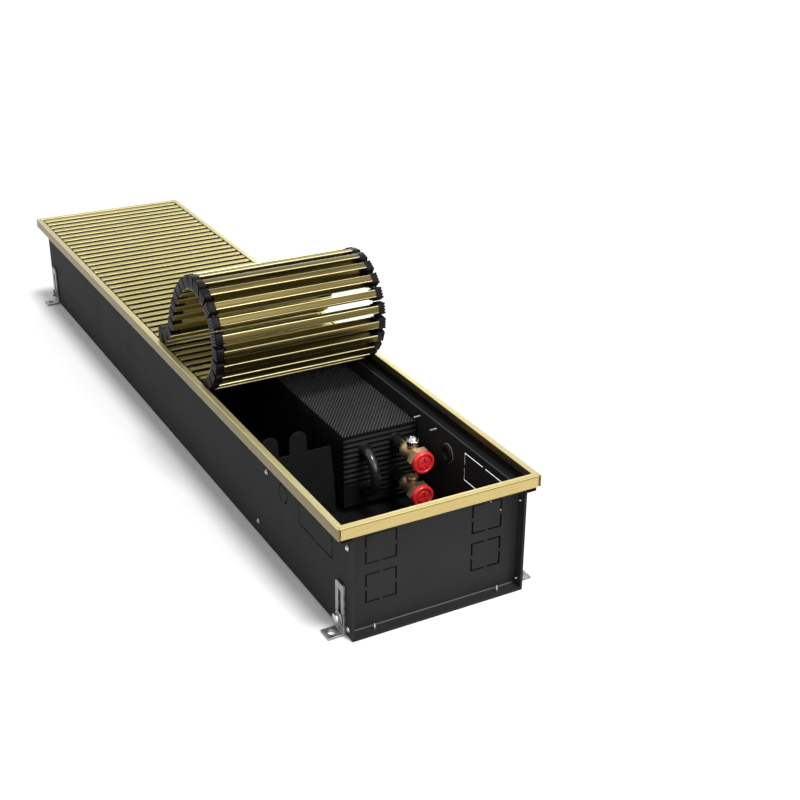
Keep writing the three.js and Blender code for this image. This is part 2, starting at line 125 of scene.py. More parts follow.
class ConvectorSizes(bpy.types.PropertyGroup):
    """Sizes of the details that the solids leave out."""

    bend: length("Sheet bend", 2.0, "Outer radius where the casing's sheet is folded")
    rim_round: length("Rim rounding", 0.5, "Rounding of the rim profile's long edges")
    slat_round: length("Slat rounding", 0.75, "Rounding of the slats' flange edges")
    fin_pitch: length("Fin pitch", 2.9, "Distance between neighbouring fins")
    fin_sheet: length("Fin sheet", 0.42, "Thickness of a fin's sheet at its top edge")
    fin_cells: IntProperty(name="Cells", description="Cells across the exchanger", default=22, min=4, max=40)
    knob_teeth: IntProperty(name="Knob teeth", description="Teeth round the vent knob", default=22, min=8, max=40)


class ConvectorColours(bpy.types.PropertyGroup):
    """Base colours of the finishes."""

    coat: colour("Casing coat", (0.032, 0.032, 0.032), "Black coat on the sheet metal")
    gold: colour("Rim gold", (0.54, 0.42, 0.165), "Anodised rim")
    slat: colour("Slat gold", (0.40, 0.335, 0.09), "Tops of the slats")
    # Painted shade: the slats' undersides and webs are darker than their tops.
    slat_under_shade: colour("Slat underside", (0.125, 0.098, 0.033), "Undersides and webs of the slats")
    # Painted highlight: the gold profiles' edges and the rails' tops are lightened towards this colour.
    edge: colour("Gold edge", (0.84, 0.76, 0.38), "Polished edges of the gold profiles")
    cap: colour("Slat caps", (0.005, 0.0045, 0.005), "Moulded caps on the slats' ends")
    fin: colour("Fins", (0.012, 0.012, 0.012), "Coat on the fins")
    fin_edge: colour("Fin edges", (0.10, 0.10, 0.10), "Cut top edges of the fins")
    pipe: colour("Pipe", (0.014, 0.014, 0.015), "Coat on the exchanger's pipe")
    brass: colour("Brass", (0.70, 0.47, 0.25), "Pipe fittings")
    red: colour("Red caps", (0.87, 0.034, 0.038), "Moulded caps that close the fittings")
    steel: colour("Steel", (0.48, 0.48, 0.48), "Screws and bolts")
    zinc: colour("Galvanised", (0.30, 0.30, 0.29), "Levelling feet")
    floor: colour("Floor", (0.95, 0.95, 0.95), "Studio floor")


# ---- Mesh helpers ----
def at(axis, u, v, w):
    """The point with u and v across an axis and w along it, in metres."""
    x, y, z = {"X": (w, u, v), "Y": (u, w, v), "Z": (u, v, w)}[axis]
    return Vector((x, y, z)) * MM


def prism(outline, axis, low, high, rounds=()):
    """An outline extruded along an axis. Each of rounds is a radius, its segments and the corners it rounds."""
    bm = bmesh.new()
    corners = [bm.verts.new(at(axis, u, v, low)) for u, v in outline]
    bm.faces.new(corners)
    for radius, segments, numbers in rounds:
        bmesh.ops.bevel(
            bm, geom=[corners[i] for i in numbers], offset=radius * MM, segments=segments,
            profile=0.5, affect="VERTICES", material=-1,
        )
    made = bmesh.ops.extrude_face_region(bm, geom=bm.faces[:])
    raised = [item for item in made["geom"] if isinstance(item, bmesh.types.BMVert)]
    bmesh.ops.translate(bm, verts=raised, vec=at(axis, 0, 0, high - low))
    bmesh.ops.recalc_face_normals(bm, faces=bm.faces[:])
    return bm


def block(x, y, z):
    """A box between pairs of limits."""
    (x0, x1), (y0, y1), (z0, z1) = x, y, z
    bm = bmesh.new()
    bmesh.ops.create_cube(bm, size=1)
    bmesh.ops.scale(bm, vec=Vector((x1 - x0, y1 - y0, z1 - z0)) * MM, verts=bm.verts[:])
    bmesh.ops.translate(bm, vec=Vector((x0 + x1, y0 + y1, z0 + z1)) * MM / 2, verts=bm.verts[:])
    return bm


def arc(u, v, radius, start, sweep, steps):
    """Points along an arc, both ends included."""
    angles = [start + sweep * i / steps for i in range(steps + 1)]
    return [(u + radius * math.cos(a), v + radius * math.sin(a)) for a in angles]


def disc(axis, u, v, radius, low, high, sides):
    """A round or many-sided bar along an axis."""
    return prism(arc(u, v, radius, 0, math.tau, sides)[:-1], axis, low, high)


def turned(profile, steps):
    """A profile of radius and height turned about the X axis."""
    bm = bmesh.new()
    verts = [bm.verts.new(Vector((x, 0, radius)) * MM) for radius, x in profile]
    edges = [bm.edges.new(pair) for pair in zip(verts, verts[1:])]
    bmesh.ops.spin(
        bm, geom=verts + edges, cent=(0, 0, 0), axis=(1, 0, 0), angle=math.tau, steps=steps, use_merge=True,
    )
    bmesh.ops.remove_doubles(bm, verts=bm.verts[:], dist=1e-6)
    bmesh.ops.recalc_face_normals(bm, faces=bm.faces[:])
    return bm


def soften(bm, width, angle, segments):
    """Rounds every edge sharper than an angle, by a width."""
    sharp = [e for e in bm.edges if e.is_manifold and e.calc_face_angle(0) > math.radians(angle)]
    bmesh.ops.bevel(
        bm, geom=sharp, offset=width * MM, segments=segments, profile=0.5, affect="EDGES", material=-1,
        clamp_overlap=True,
    )
    bmesh.ops.remove_doubles(bm, verts=bm.verts[:], dist=2e-6)
    bmesh.ops.dissolve_degenerate(bm, edges=bm.edges[:], dist=1e-6)
    return bm


def moved(bm, matrix):
    """A part after a move, with its faces still pointing outwards."""
    bmesh.ops.transform(bm, matrix=matrix, verts=bm.verts[:])
    if matrix.determinant() < 0:
        bmesh.ops.reverse_faces(bm, faces=bm.faces[:])
    return bm


def shift(x=0.0, y=0.0, z=0.0):
    """A move in millimetres."""
    return Matrix.Translation(Vector((x, y, z)) * MM)


def flip(x=1, y=1, z=1):
    """A mirror about the frame's planes."""
    return Matrix.Diagonal((x, y, z, 1))


def turn(angle, axis):
    """A turn in degrees about an axis through the origin."""
    return Matrix.Rotation(math.radians(angle), 4, axis)


def upright(profile, steps):
    """A profile of radius and height turned about the Z axis."""
    return moved(turned(profile, steps), turn(-90, "Y"))


def both(side, low, high):
    """A pair of limits, on the negative side of its axis where side is -1."""
    return sorted((side * low, side * high))


def mesh_of(parts, name):
    """One mesh from closed parts, which are used up."""
    joined = bmesh.new()
    for part in parts:
        mesh = bpy.data.meshes.new("part")
        part.to_mesh(mesh)
        part.free()
        joined.from_mesh(mesh)
        bpy.data.meshes.remove(mesh)
    mesh = bpy.data.meshes.new(name)
    joined.to_mesh(mesh)
    joined.free()
    return mesh


def linked(name, mesh):
    """A new object in the scene."""
    obj = bpy.data.objects.new(name, mesh)
    bpy.context.scene.collection.objects.link(obj)
    return obj


def carved(body, cutters):
    """What is left of a closed part when others are taken out of it."""
    kept = linked("carving", mesh_of([body], "carving"))
    tool = linked("carving_tool", mesh_of(cutters, "carving_tool"))
    modifier = kept.modifiers.new("carve", "BOOLEAN")
    modifier.operation = "DIFFERENCE"
    modifier.solver = "EXACT"
    modifier.object = tool
    result = bmesh.new()
    result.from_object(kept, bpy.context.evaluated_depsgraph_get())
    for obj in (kept, tool):
        mesh = obj.data
        bpy.data.objects.remove(obj)
        bpy.data.meshes.remove(mesh)
    bmesh.ops.remove_doubles(result, verts=result.verts[:], dist=2e-6)
    return result


def mark_highlight_edges(mesh, width):
    """Marks the narrow faces along a piece's edges, where a finish gets a painted highlight."""
    layer = mesh.attributes.new("edge", "FLOAT", "FACE")
    for face in mesh.polygons:
        corners = [mesh.vertices[i].co for i in face.vertices]
        longest = max((a - b).length for a, b in zip(corners, corners[1:] + corners[:1]))
        layer.data[face.index].value = 1.0 if face.area < longest * width * MM else 0.0


def piece(name, parts, material, body, slot, *nodes, smooth=35, edges=0.0):
    """An object made of closed parts, on its body, in place of the solids it stands for."""
    mesh = mesh_of(parts, name)
    # Narrow edge faces are marked for a painted highlight.
    if edges:
        mark_highlight_edges(mesh, edges)
    mesh.shade_smooth()
    mesh.set_sharp_from_angle(angle=math.radians(smooth))
    mesh.materials.append(material)
    obj = linked(name, mesh)
    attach(obj, body)
    if nodes:
        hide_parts(*nodes)
    return obj


# ---- Node helpers ----
def new_group(name, label, value, output):
    """A new effect that reads a place and one setting: its tree, their sockets, and the socket it puts out."""
    group = bpy.data.node_groups.new(name, "ShaderNodeTree")
    kind = "NodeSocketFloat" if isinstance(value, float) else "NodeSocketVector"
    group.interface.new_socket(name="Vector", in_out="INPUT", socket_type="NodeSocketVector")
    group.interface.new_socket(name=label, in_out="INPUT", socket_type=kind).default_value = value
    group.interface.new_socket(name=output, in_out="OUTPUT", socket_type="NodeSocketFloat")
    given = group.nodes.new("NodeGroupInput").outputs
    return group, given["Vector"], given[label], group.nodes.new("NodeGroupOutput").inputs[output]


def node(tree, kind, inputs=None, **settings):
    """A node with its settings, and its inputs set or linked."""
    made = tree.nodes.new(kind)
    for key, value in settings.items():
        setattr(made, key, value)
    for key, value in (inputs or {}).items():
        if isinstance(value, bpy.types.NodeSocket):
            tree.links.new(value, made.inputs[key])
        else:
            made.inputs[key].default_value = value
    return made


def maths(tree, operation, first, second=0.0):
    """One step of arithmetic."""
    return node(tree, "ShaderNodeMath", {0: first, 1: second}, operation=operation).outputs[0]


def ramp(tree, factor, low, high):
    """A value stretched so that low becomes 0 and high becomes 1."""
    made = node(tree, "ShaderNodeMapRange", {"Value": factor, "From Min": low, "From Max": high})
    return made.outputs["Result"]


def spread(tree, factor, low, high):
    """A mask turned into a value between two others."""
    made = node(tree, "ShaderNodeMapRange", {"Value": factor, "To Min": low, "To Max": high})
    return made.outputs["Result"]


def noise(tree, place, scale, detail, roughness):
    """Cloudy noise."""
    sockets = {"Vector": place, "Scale": scale, "Detail": detail, "Roughness": roughness}
    return node(tree, "ShaderNodeTexNoise", sockets).outputs["Fac"]


def place_axes(tree):
    """The X, Y and Z of the piece's own coordinates."""
    place = node(tree, "ShaderNodeTexCoord")
    return node(tree, "ShaderNodeSeparateXYZ", {"Vector": place.outputs["Object"]}).outputs


def streaks_group():
    """Fine lines drawn along one direction, for profiles and turned metal."""
    group, place, stretch, lines = new_group("streaks", "Stretch", (20, 1500, 1500), "Lines")
    scaled = node(group, "ShaderNodeVectorMath", {0: place, 1: stretch}, operation="MULTIPLY").outputs[0]
    group.links.new(ramp(group, noise(group, scaled, 1.0, 3.0, 0.6), 0.32, 0.68), lines)
    return group


def patches_group():
    """Broad soft patches, for uneven gloss and handling."""
    group, place, scale, mask = new_group("patches", "Scale", 12.0, "Mask")
    group.links.new(ramp(group, noise(group, place, scale, 4.0, 0.55), 0.35, 0.7), mask)
    return group


def grain_group():
    """Fine pebbled grain of a powder coat or a moulded skin."""
    group, place, scale, height = new_group("grain", "Scale", 1200.0, "Height")
    clouds = noise(group, place, scale, 2.0, 0.5)
    cells = node(group, "ShaderNodeTexVoronoi", {"Vector": place, "Scale": scale}, feature="SMOOTH_F1")
    group.links.new(maths(group, "ADD", clouds, cells.outputs["Distance"]), height)
    return group


def spangle_group():
    """Zinc crystals: flat patches that differ a little in tone."""
    group, place, scale, tone = new_group("spangle", "Scale", 220.0, "Tone")
    cells = node(group, "ShaderNodeTexVoronoi", {"Vector": place, "Scale": scale})
    split = node(group, "ShaderNodeSeparateColor", {"Color": cells.outputs["Color"]})
    group.links.new(split.outputs["Red"], tone)
    return group


GROUP_MAKERS = {
    "streaks": streaks_group, "patches": patches_group, "grain": grain_group, "spangle": spangle_group,
}
GROUPS = {}  # the effects built so far


def effect(tree, name, **settings):
    """A shared effect placed in a material, on the piece's own coordinates."""
    if name not in GROUPS:
        GROUPS[name] = GROUP_MAKERS[name]()
    sockets = {key.capitalize(): value for key, value in settings.items()}
    sockets["Vector"] = node(tree, "ShaderNodeTexCoord").outputs["Object"]
    return node(tree, "ShaderNodeGroup", sockets, node_tree=GROUPS[name]).outputs[0]


def attribute(tree, name):
    """A value stored on the piece's faces."""
    return node(tree, "ShaderNodeAttribute", attribute_name=name).outputs["Fac"]


def blend(tree, factor, first, second):
    """Two colours mixed by a mask."""
    ends = [value if isinstance(value, bpy.types.NodeSocket) else (*value, 1) for value in (first, second)]
    return node(tree, "ShaderNodeMix", {0: factor, 6: ends[0], 7: ends[1]}, data_type="RGBA").outputs[2]


def new_material(name, metallic, specular=0.5, coat=0.0):
    """A material with its constant settings, and its tree."""
    material = bpy.data.materials.new(name)
    material.use_nodes = True
    sockets = material.node_tree.nodes["Principled BSDF"].inputs
    sockets["Metallic"].default_value = metallic
    sockets["Specular IOR Level"].default_value = specular
    sockets["Coat Weight"].default_value = coat
    sockets["Coat Roughness"].default_value = 0.12
    return material, material.node_tree


def complete(material, colours, gloss, rough, height=None, bump=0.01, strength=1.0):
    """A material given its colours, a roughness between two values by a mask, and a bump in millimetres."""
    tree = material.node_tree
    sockets = tree.nodes["Principled BSDF"].inputs
    tree.links.new(colours, sockets["Base Color"])
    tree.links.new(spread(tree, gloss, *rough), sockets["Roughness"])
    if height is not None:
        relief = node(tree, "ShaderNodeBump", {"Height": height, "Distance": bump * MM, "Strength": strength})
        tree.links.new(relief.outputs["Normal"], sockets["Normal"])
    return material


def shade(value, factor):
    """A colour made darker or lighter."""
    return tuple(min(1.0, channel * factor) for channel in value)


def inside_shade_mask(tree):
    """Where painted shade goes: 1 on the casing's floor inside, falling to 0 up its walls and at its outer faces.
    """
    axes = place_axes(tree)
    mask = ramp(tree, axes["Z"], 95 * MM, 5 * MM)
    for axis, limit in (("X", PLATE_X - SHEET / 2), ("Y", WALL - SHEET / 2)):
        inside = maths(tree, "LESS_THAN", maths(tree, "ABSOLUTE", axes[axis]), limit * MM)
        mask = maths(tree, "MULTIPLY", mask, inside)
    return mask


def band_mask(tree, value, low, high):
    """1 where a value lies between two limits."""
    return maths(tree, "MULTIPLY", maths(tree, "GREATER_THAN", value, low), maths(tree, "LESS_THAN", value, high))


def ledge_shade_and_highlight(tree, colours, value):
    """Painted shade on the trough's ledges, with a painted highlight along the fold where each begins."""
    axes = place_axes(tree)
    high = maths(tree, "GREATER_THAN", axes["Z"], (LEDGE + 0.3) * MM)
    away = maths(tree, "ABSOLUTE", axes["Y"])
    # Painted shade between the fold and the upstand, then a painted highlight on the fold itself.
    for low, limit, factor in ((99.7, 111, 0.4), (98.6, 99.7, 3.2)):
        mask = maths(tree, "MULTIPLY", band_mask(tree, away, low * MM, limit * MM), high)
        colours = blend(tree, mask, colours, shade(value, factor))
    return colours


def coated(name, value, rough, specular, scale=1200.0, bump=0.02, fold_highlight=None, inner=False, ledges=False):
    """A coat over sheet metal, with fine grain and uneven gloss; painted shade low inside, painted shade and a
    painted highlight on the ledges, and a painted highlight along each fold.
    """
    material, tree = new_material(name, 0.0, specular)
    colours = blend(tree, effect(tree, "patches", scale=9.0), shade(value, 0.95), shade(value, 1.06))
    # Painted shade: the coat darkened low inside the casing, where little light reaches.
    if inner:
        colours = blend(tree, inside_shade_mask(tree), colours, shade(value, 0.25))
    # Painted shade on the ledges and a painted highlight along their folds.
    if ledges:
        colours = ledge_shade_and_highlight(tree, colours, value)
    # Painted highlight on the faces marked along each fold.
    if fold_highlight:
        colours = blend(tree, attribute(tree, "edge"), colours, shade(value, fold_highlight))
    gloss, height = effect(tree, "patches", scale=23.0), effect(tree, "grain", scale=scale)
    return complete(material, colours, gloss, rough, height, bump)


def anodised(name, value, stretch, rough, edge):
    """Anodised aluminium drawn along one axis, with a painted highlight where it is marked as an edge."""
    material, tree = new_material(name, 0.7)
    lines = effect(tree, "streaks", stretch=stretch)
    drawn = blend(tree, lines, shade(value, 0.95), shade(value, 1.04))
    colours = blend(tree, effect(tree, "patches", scale=14.0), drawn, shade(value, 0.95))
    colours = blend(tree, attribute(tree, "edge"), colours, edge)
    return complete(material, colours, lines, rough, lines, 0.012, 0.6)


def metal(name, value, rough, stretch=(900, 900, 900), metallic=1.0):
    """Plain turned or plated metal with fine marks."""
    material, tree = new_material(name, metallic)
    lines = effect(tree, "streaks", stretch=stretch)
    colours = blend(tree, effect(tree, "patches", scale=60.0), shade(value, 0.86), shade(value, 1.06))
    return complete(material, colours, lines, rough, lines, strength=0.5)


def galvanised(name, value):
    """Zinc-coated sheet with its crystals."""
    material, tree = new_material(name, 0.85)
    tone = effect(tree, "spangle", scale=240.0)
    colours = blend(tree, tone, shade(value, 0.78), shade(value, 1.2))
    return complete(material, colours, tone, (0.3, 0.48), effect(tree, "grain", scale=800.0))


def moulded(name, value, rough, coat=0.0, specular=0.5):
    """Moulded plastic or rubber with a fine skin."""
    material, tree = new_material(name, 0.0, specular, coat)
    patches = effect(tree, "patches", scale=55.0)
    colours = blend(tree, patches, shade(value, 0.9), shade(value, 1.1))
    return complete(material, colours, patches, rough, effect(tree, "grain", scale=900.0), 0.012)


def slat_gold(name, top, under, edge):
    """Drawn gold for the slats: clear on top, with painted shade underneath and a painted highlight along the
    edges.
    """
    material, tree = new_material(name, 0.88)
    lines = effect(tree, "streaks", stretch=(1600, 18, 1600))
    below = attribute(tree, "under")
    dark = blend(tree, below, shade(top, 0.9), shade(under, 0.8))
    light = blend(tree, below, shade(top, 1.08), shade(under, 1.15))
    colours = blend(tree, attribute(tree, "edge"), blend(tree, lines, dark, light), edge)
    return complete(material, colours, lines, (0.26, 0.4), lines, 0.012, 0.6)


def fin_finish(name, value, edge):
    """The fins' coat, lighter along the cut edges on top."""
    material, tree = new_material(name, 0.0, 0.3)
    top_band = ramp(tree, place_axes(tree)["Z"], (PACK_Z[1] - 0.5) * MM, (PACK_Z[1] - 0.1) * MM)
    return complete(material, blend(tree, top_band, value, edge), effect(tree, "patches", scale=23.0), (0.4, 0.55))


FINISHES = {}  # the materials built so far


def finish(name):
    """The named finish, made on its first use from the scene's colours."""
    if name in FINISHES:
        return FINISHES[name]
    shades = bpy.context.scene.convector_colours
    makers = {
        # Casing coat: painted shade low inside and on the ledges, with a painted highlight along the ledges' folds.
        "casing_coat": lambda: coated(name, shades.coat, (0.62, 0.68), 0.03, inner=True, ledges=True),
        # End plates: the casing coat darkened to 0.72 as painted shade, with a painted highlight along each fold
        # and painted shade low inside.
        "folded_coat": lambda: coated(name, shade(shades.coat, 0.72), (0.5, 0.65), 0.1, fold_highlight=5.0, inner=True),
        # Bracket and coil supports: the casing coat darkened to 0.42, painted shade where they stand deep in the
        # casing.
        "bracket_coat": lambda: coated(name, shade(shades.coat, 0.42), (0.45, 0.6), 0.12),
        "gold_across": lambda: anodised(name, shades.gold, (1600, 18, 1600), (0.26, 0.4), shades.edge),
        # Side rails: the rim gold darkened to 0.36, painted shade on rails whose faces look sideways.
        "gold_along_shaded": lambda: anodised(
            name, shade(shades.gold, 0.36), (18, 1600, 1600), (0.3, 0.44), shades.edge,
        ),
        "slat_gold": lambda: slat_gold(name, shades.slat, shades.slat_under_shade, shades.edge),
        "slat_cap": lambda: moulded(name, shades.cap, (0.35, 0.5), specular=0.12),
        "wire": lambda: metal(name, shades.steel, (0.25, 0.35)),
        "fin_coat": lambda: fin_finish(name, shades.fin, shades.fin_edge),
        # Closing sheet: the casing coat darkened to 0.3, painted shade deep in the casing.
        "fin_face_coat": lambda: coated(name, shade(shades.coat, 0.3), (0.4, 0.55), 0.12, 1500.0, 0.01),
        "pipe_coat": lambda: coated(name, shades.pipe, (0.2, 0.3), 0.6, 1500.0, 0.006),
        "brass": lambda: metal(name, shades.brass, (0.32, 0.46), (300, 900, 900), 0.88),
        "chrome": lambda: metal(name, (0.66, 0.66, 0.67), (0.1, 0.2)),
        "red_plastic": lambda: moulded(name, shades.red, (0.25, 0.34), 0.35),
        "galvanised": lambda: galvanised(name, shades.zinc),
        "zinc_steel": lambda: metal(name, shades.steel, (0.18, 0.3)),
        "rubber": lambda: moulded(name, (0.01, 0.01, 0.01), (0.45, 0.6), specular=0.2),
        # A light steel that gives the grommet's rim a painted highlight.
        "highlight_steel": lambda: metal(name, (0.86, 0.86, 0.84), (0.3, 0.4), metallic=0.3),
    }
    FINISHES[name] = makers[name]()
    return FINISHES[name]


# ---- Casing ----
def corner_slots(u, v, w, axis):
    """Four L-shaped slots that outline a knock-out, with a bridge left in the middle of each side."""
    slot, bridge = 2.1, 1.6
    parts = []
    for a, way_u in zip(u, (1, -1)):
        for b, way_v in zip(v, (1, -1)):
            far_u, far_v = sum(u) / 2 - way_u * bridge, sum(v) / 2 - way_v * bridge
            outline = [
                (a, b), (far_u, b), (far_u, b + way_v * slot), (a + way_u * slot, b + way_v * slot),
                (a + way_u * slot, far_v), (a, far_v),
            ]
            parts.append(prism(outline, axis, *w))
    return parts


def arc_slot(start):
    """One of the two slots round the left wall's knock-out, each a little short of half a turn."""
    x, z, radius = ROUND_KNOCKOUT
    run = (start, math.pi - 0.5, 14)
    return prism(arc(x, z, radius, *run) + arc(x, z, radius - 1.9, *run)[::-1], "Y", -WALL - 2, -WALL + 2)


def trough_sheet(bend):
    """The folded trough, with its knock-outs cut round and its cable hole."""
    inner, top = WALL - SHEET, LEDGE + SHEET
    right = [
        (WALL, 0), (WALL, LEDGE), (UPSTAND_Y, LEDGE), (UPSTAND_Y, UPSTAND_TOP), (UPSTAND_Y - SHEET, UPSTAND_TOP),
        (UPSTAND_Y - SHEET, top), (inner, top), (inner, SHEET),
    ]
    outline = right + [(-u, v) for u, v in reversed(right)]
    rounds = [(bend, 5, [0, 2, 6, 9, 13, 15]), (bend - SHEET, 4, [1, 5, 7, 8, 10, 14])]
    body = prism(outline, "X", -TROUGH_END, TROUGH_END, rounds)
    cutters = []
    for side in (-1, 1):
        cutters += corner_slots(*SIDE_KNOCKOUT, both(side, WALL - 2, WALL + 2), "Y")
        cutters.append(block(both(side, TROUGH_END - 0.8, 540), (-120, 120), (top + 0.01, 140)))
    cutters += [arc_slot(start) for start in (-1.32, 1.82)]
    cutters.append(disc("Y", *GROMMET, 9.5, WALL - 2, WALL + 2, 40))
    return carved(body, cutters)


def end_sheet(end, bend):
    """An end plate with its folded flanges and four square knock-outs."""
    low, inner, top = SHEET + 0.3, PLATE_X - SHEET, LEDGE + SHEET
    side_y, flange = WALL - SHEET - 0.3, 8
    profile = [
        (inner, low), (TROUGH_END, low), (TROUGH_END, low + SHEET), (PLATE_X, low + SHEET), (PLATE_X, LEDGE),
        (UPSTAND_X, LEDGE), (UPSTAND_X, UPSTAND_TOP), (UPSTAND_X - SHEET, UPSTAND_TOP), (UPSTAND_X - SHEET, top),
        (inner, top),
    ]
    rounds = [(bend, 4, [0, 5, 9]), (bend - SHEET, 3, [3, 4, 8])]
    plate = prism(profile, "Y", -side_y, side_y, rounds)
    cutters = []
    for side in (-1, 1):
        for level in END_KNOCKOUT_ROWS:
            cutters += corner_slots(both(side, *END_KNOCKOUT), level, (PLATE_X - 3, PLATE_X + 2), "X")
    parts = [carved(plate, cutters)]
    for side in (-1, 1):
        outline = [
            (inner, side * (side_y - flange)), (inner, side * side_y), (TROUGH_END, side * side_y),
            (TROUGH_END, side * (side_y - SHEET)), (PLATE_X + 0.02, side * (side_y - SHEET)),
            (PLATE_X + 0.02, side * (side_y - flange)),
        ]
        parts.append(prism(outline, "Z", low, LEDGE - 0.3, [(bend, 4, [1]), (bend - 0.5, 4, [4])]))
    return parts if end > 0 else [moved(part, flip(x=-1)) for part in parts]


def rim_section(outer, groove):
    """Section of the rim profile; groove adds the fine line below its outer edge."""
    low, lip, shelf = RIM_TOP - RIM_DEPTH, 125.6, RIM_TOP - 1.8
    cut = outer - 0.9
    line = [(outer, RIM_TOP - 1.6), (cut, RIM_TOP - 1.5), (cut, RIM_TOP - 0.9), (outer, RIM_TOP - 0.8)]
    return [
        (outer, low), *(line if groove else []), (outer, RIM_TOP), (outer - 7, RIM_TOP), (outer - 7, lip),
        (outer - 5.4, lip), (outer - 5.4, shelf), (outer - 2, shelf), (outer - 2, low),
    ]


def side_rim(side, rounding):
    """A side rail, mitred on top, its outer wall running to the ends."""
    rail = prism(rim_section(RIM_SIDE, False), "X", -RIM_END, RIM_END, [(rounding, 3, [0, 1, 2, 3, 4, 7])])
    offset = RIM_END - RIM_SIDE - 0.05
    inside = RIM_SIDE - 2
    cutters = []
    for end in (-1, 1):
        corner = [(95 + offset, 95), (inside + offset, inside), (550, inside), (550, 95)]
        cutters.append(prism([(end * x, y) for x, y in corner], "Z", 110, 140))
    rail = carved(rail, cutters)
    return moved(rail, flip(y=side)) if side < 0 else rail


def end_rim(end, rounding):
    """An end rail between the side rails' outer walls, with a slit at each corner."""
    rounds = [(rounding * 0.6, 3, [5]), (rounding, 3, [6, 7])]
    rail = prism(rim_section(RIM_END, True), "Y", -RIM_SIDE, RIM_SIDE, rounds)
    offset = RIM_END - RIM_SIDE + 0.05
    limit = RIM_SIDE - 2.3
    cutters = []
    for side in (-1, 1):
        cut = [(95 + offset, 95), (limit + offset, limit), (550, limit), (550, 130), (500, 130), (500, 95)]
        cutters.append(prism([(x, side * y) for x, y in cut], "Z", 110, 140))
    rail = carved(rail, cutters)
    rail = carved(rail, [block((520, 540), both(side, 111.8, 120), (110, RIM_TOP - 1.8)) for side in (-1, 1)])
    return moved(rail, flip(x=-1)) if end < 0 else rail


class CONVECTOR_OT_casing(bpy.types.Operator):
    """Builds the trough and its end plates"""

    bl_idname = "convector.casing"
    bl_label = "Casing"

    def execute(self, context):
        bend = context.scene.convector_sizes.bend / MM
        piece("trough_sheet", [trough_sheet(bend)], finish("casing_coat"), CASING, "casing_coat", "trough")
        # The end plates' narrow fold faces are marked for a painted highlight.
        for end, name in ((1, "near"), (-1, "far")):
            piece(
                f"end_sheet_{name}", end_sheet(end, bend), finish("folded_coat"), CASING, "casing_coat",
                f"end_plate_{name}", edges=0.45,
            )
        return {"FINISHED"}


def paint_top_highlight(rim, value):
    """Marks a rail's top for a painted highlight, lighter than its sides."""
    layer = rim.data.attributes["edge"]
    for face in rim.data.polygons:
        if face.normal.z > 0.9 and face.center.z > (RIM_TOP - 0.1) * MM:
            layer.data[face.index].value = value


class CONVECTOR_OT_rim(bpy.types.Operator):
    """Builds the four rails of the gold rim"""

    bl_idname = "convector.rim"
    bl_label = "Rim"

    def execute(self, context):
        rounding = context.scene.convector_sizes.rim_round / MM
        # The last number is the painted highlight on each rail's top.
        for way, name, shape, gold, part, top_highlight in (
            (-1, "left", side_rim, "gold_along_shaded", "side", 0.55), (1, "right", side_rim, "gold_along_shaded", "side", 0.55),
            (1, "near", end_rim, "gold_across", "end", 0.2), (-1, "far", end_rim, "gold_across", "end", 0.2),
        ):
            rail = shape(way, rounding)
            rim = piece(
                f"rim_{name}", [rail], finish(gold), CASING, "frame_gold", f"{part}_rail_{name}", edges=0.3,
            )
            paint_top_highlight(rim, top_highlight)
        return {"FINISHED"}


# ---- Grille ----
def mark_shaded_undersides(obj, place):
    """Marks every face of a slat that doesn't look up when the slat lies flat, for painted shade."""
    layer = obj.data.attributes.new("under", "FLOAT", "FACE")
    up = place.to_3x3() @ Vector((0, 0, 1))
    middle = place.translation
    for face in obj.data.polygons:
        on_top = face.normal.dot(up) > 0.3 and (face.center - middle).dot(up) > 6 * MM
        layer.data[face.index].value = 0.0 if on_top else 1.0


def slat_bar(rounding):
    """One I-shaped slat about its own middle: its top that runs on over the caps, then its web and foot."""
    half, web, up, down, flange = 4.35, 0.8, 8.8, -7.4, 1.6
    root = up - flange + 0.2
    top = [(half, up - flange), (half, up), (-half, up), (-half, up - flange)]
    foot = [
        (web, root), (-web, root), (-web, down + flange), (-half, down + flange),
        (-half, down), (half, down), (half, down + flange), (web, down + flange),
    ]
    top_rounds = [(rounding, 2, [1, 2]), (rounding * 0.5, 1, [0, 3])]
    foot_rounds = [(rounding, 2, [4, 5]), (rounding * 0.5, 1, [3, 6]), (0.5, 1, [2, 7])]
    return [
        prism(top, "Y", -SLAT_END, SLAT_END, top_rounds),
        prism(foot, "Y", -SLAT_FOOT_END, SLAT_FOOT_END, foot_rounds),
    ]


def slat_caps():
    """The moulded caps under the two ends of a slat's top, each with four upright ribs on its outer side."""
    body_right = [(6.0, -7.4), (7.7, -3.0), (7.7, 3.4), (7.0, 7.1)]
    neck_right = [(5.6, -6.6), (6.6, 0), (5.6, 6.9)]
    body, neck = (half + [(-u, v) for u, v in reversed(half)] for half in (body_right, neck_right))
    parts = []
    for side in (-1, 1):
        parts.append(prism(body, "Y", *both(side, 97.5, 105.4), [(0.5, 1, [0, 3, 4, 7])]))
        parts.append(prism(neck, "Y", *both(side, 94, SLAT_FOOT_END)))
        for middle in (-5.4, -1.8, 1.8, 5.4):
            parts.append(block((middle - 1.2, middle + 1.2), both(side, 105.3, 107), (-6.6, 6.9)))
    return parts


def curl_places():
    """Where each rolled slat sits: its middle, and its turn about Y."""
    x = FIRST_SLAT + (FIELD_SLATS - 0.5) * PITCH
    z = WIRE_Z
    angle = 0.0
    places = []
    for bend in CURL:
        angle += bend
        run = PITCH * math.cos(math.radians(angle))
        rise = PITCH * math.sin(math.radians(angle))
        places.append(shift(x + run / 2, 0, z + rise / 2) @ turn(-angle, "Y"))
        x += run
        z += rise
    return places


def wire_runs(low, high):
    """A stretch of both wires, about the slats' middles."""
    return [disc("X", y, 0.4, 0.9, low, high, 10) for y in (-WIRE_Y, WIRE_Y)]


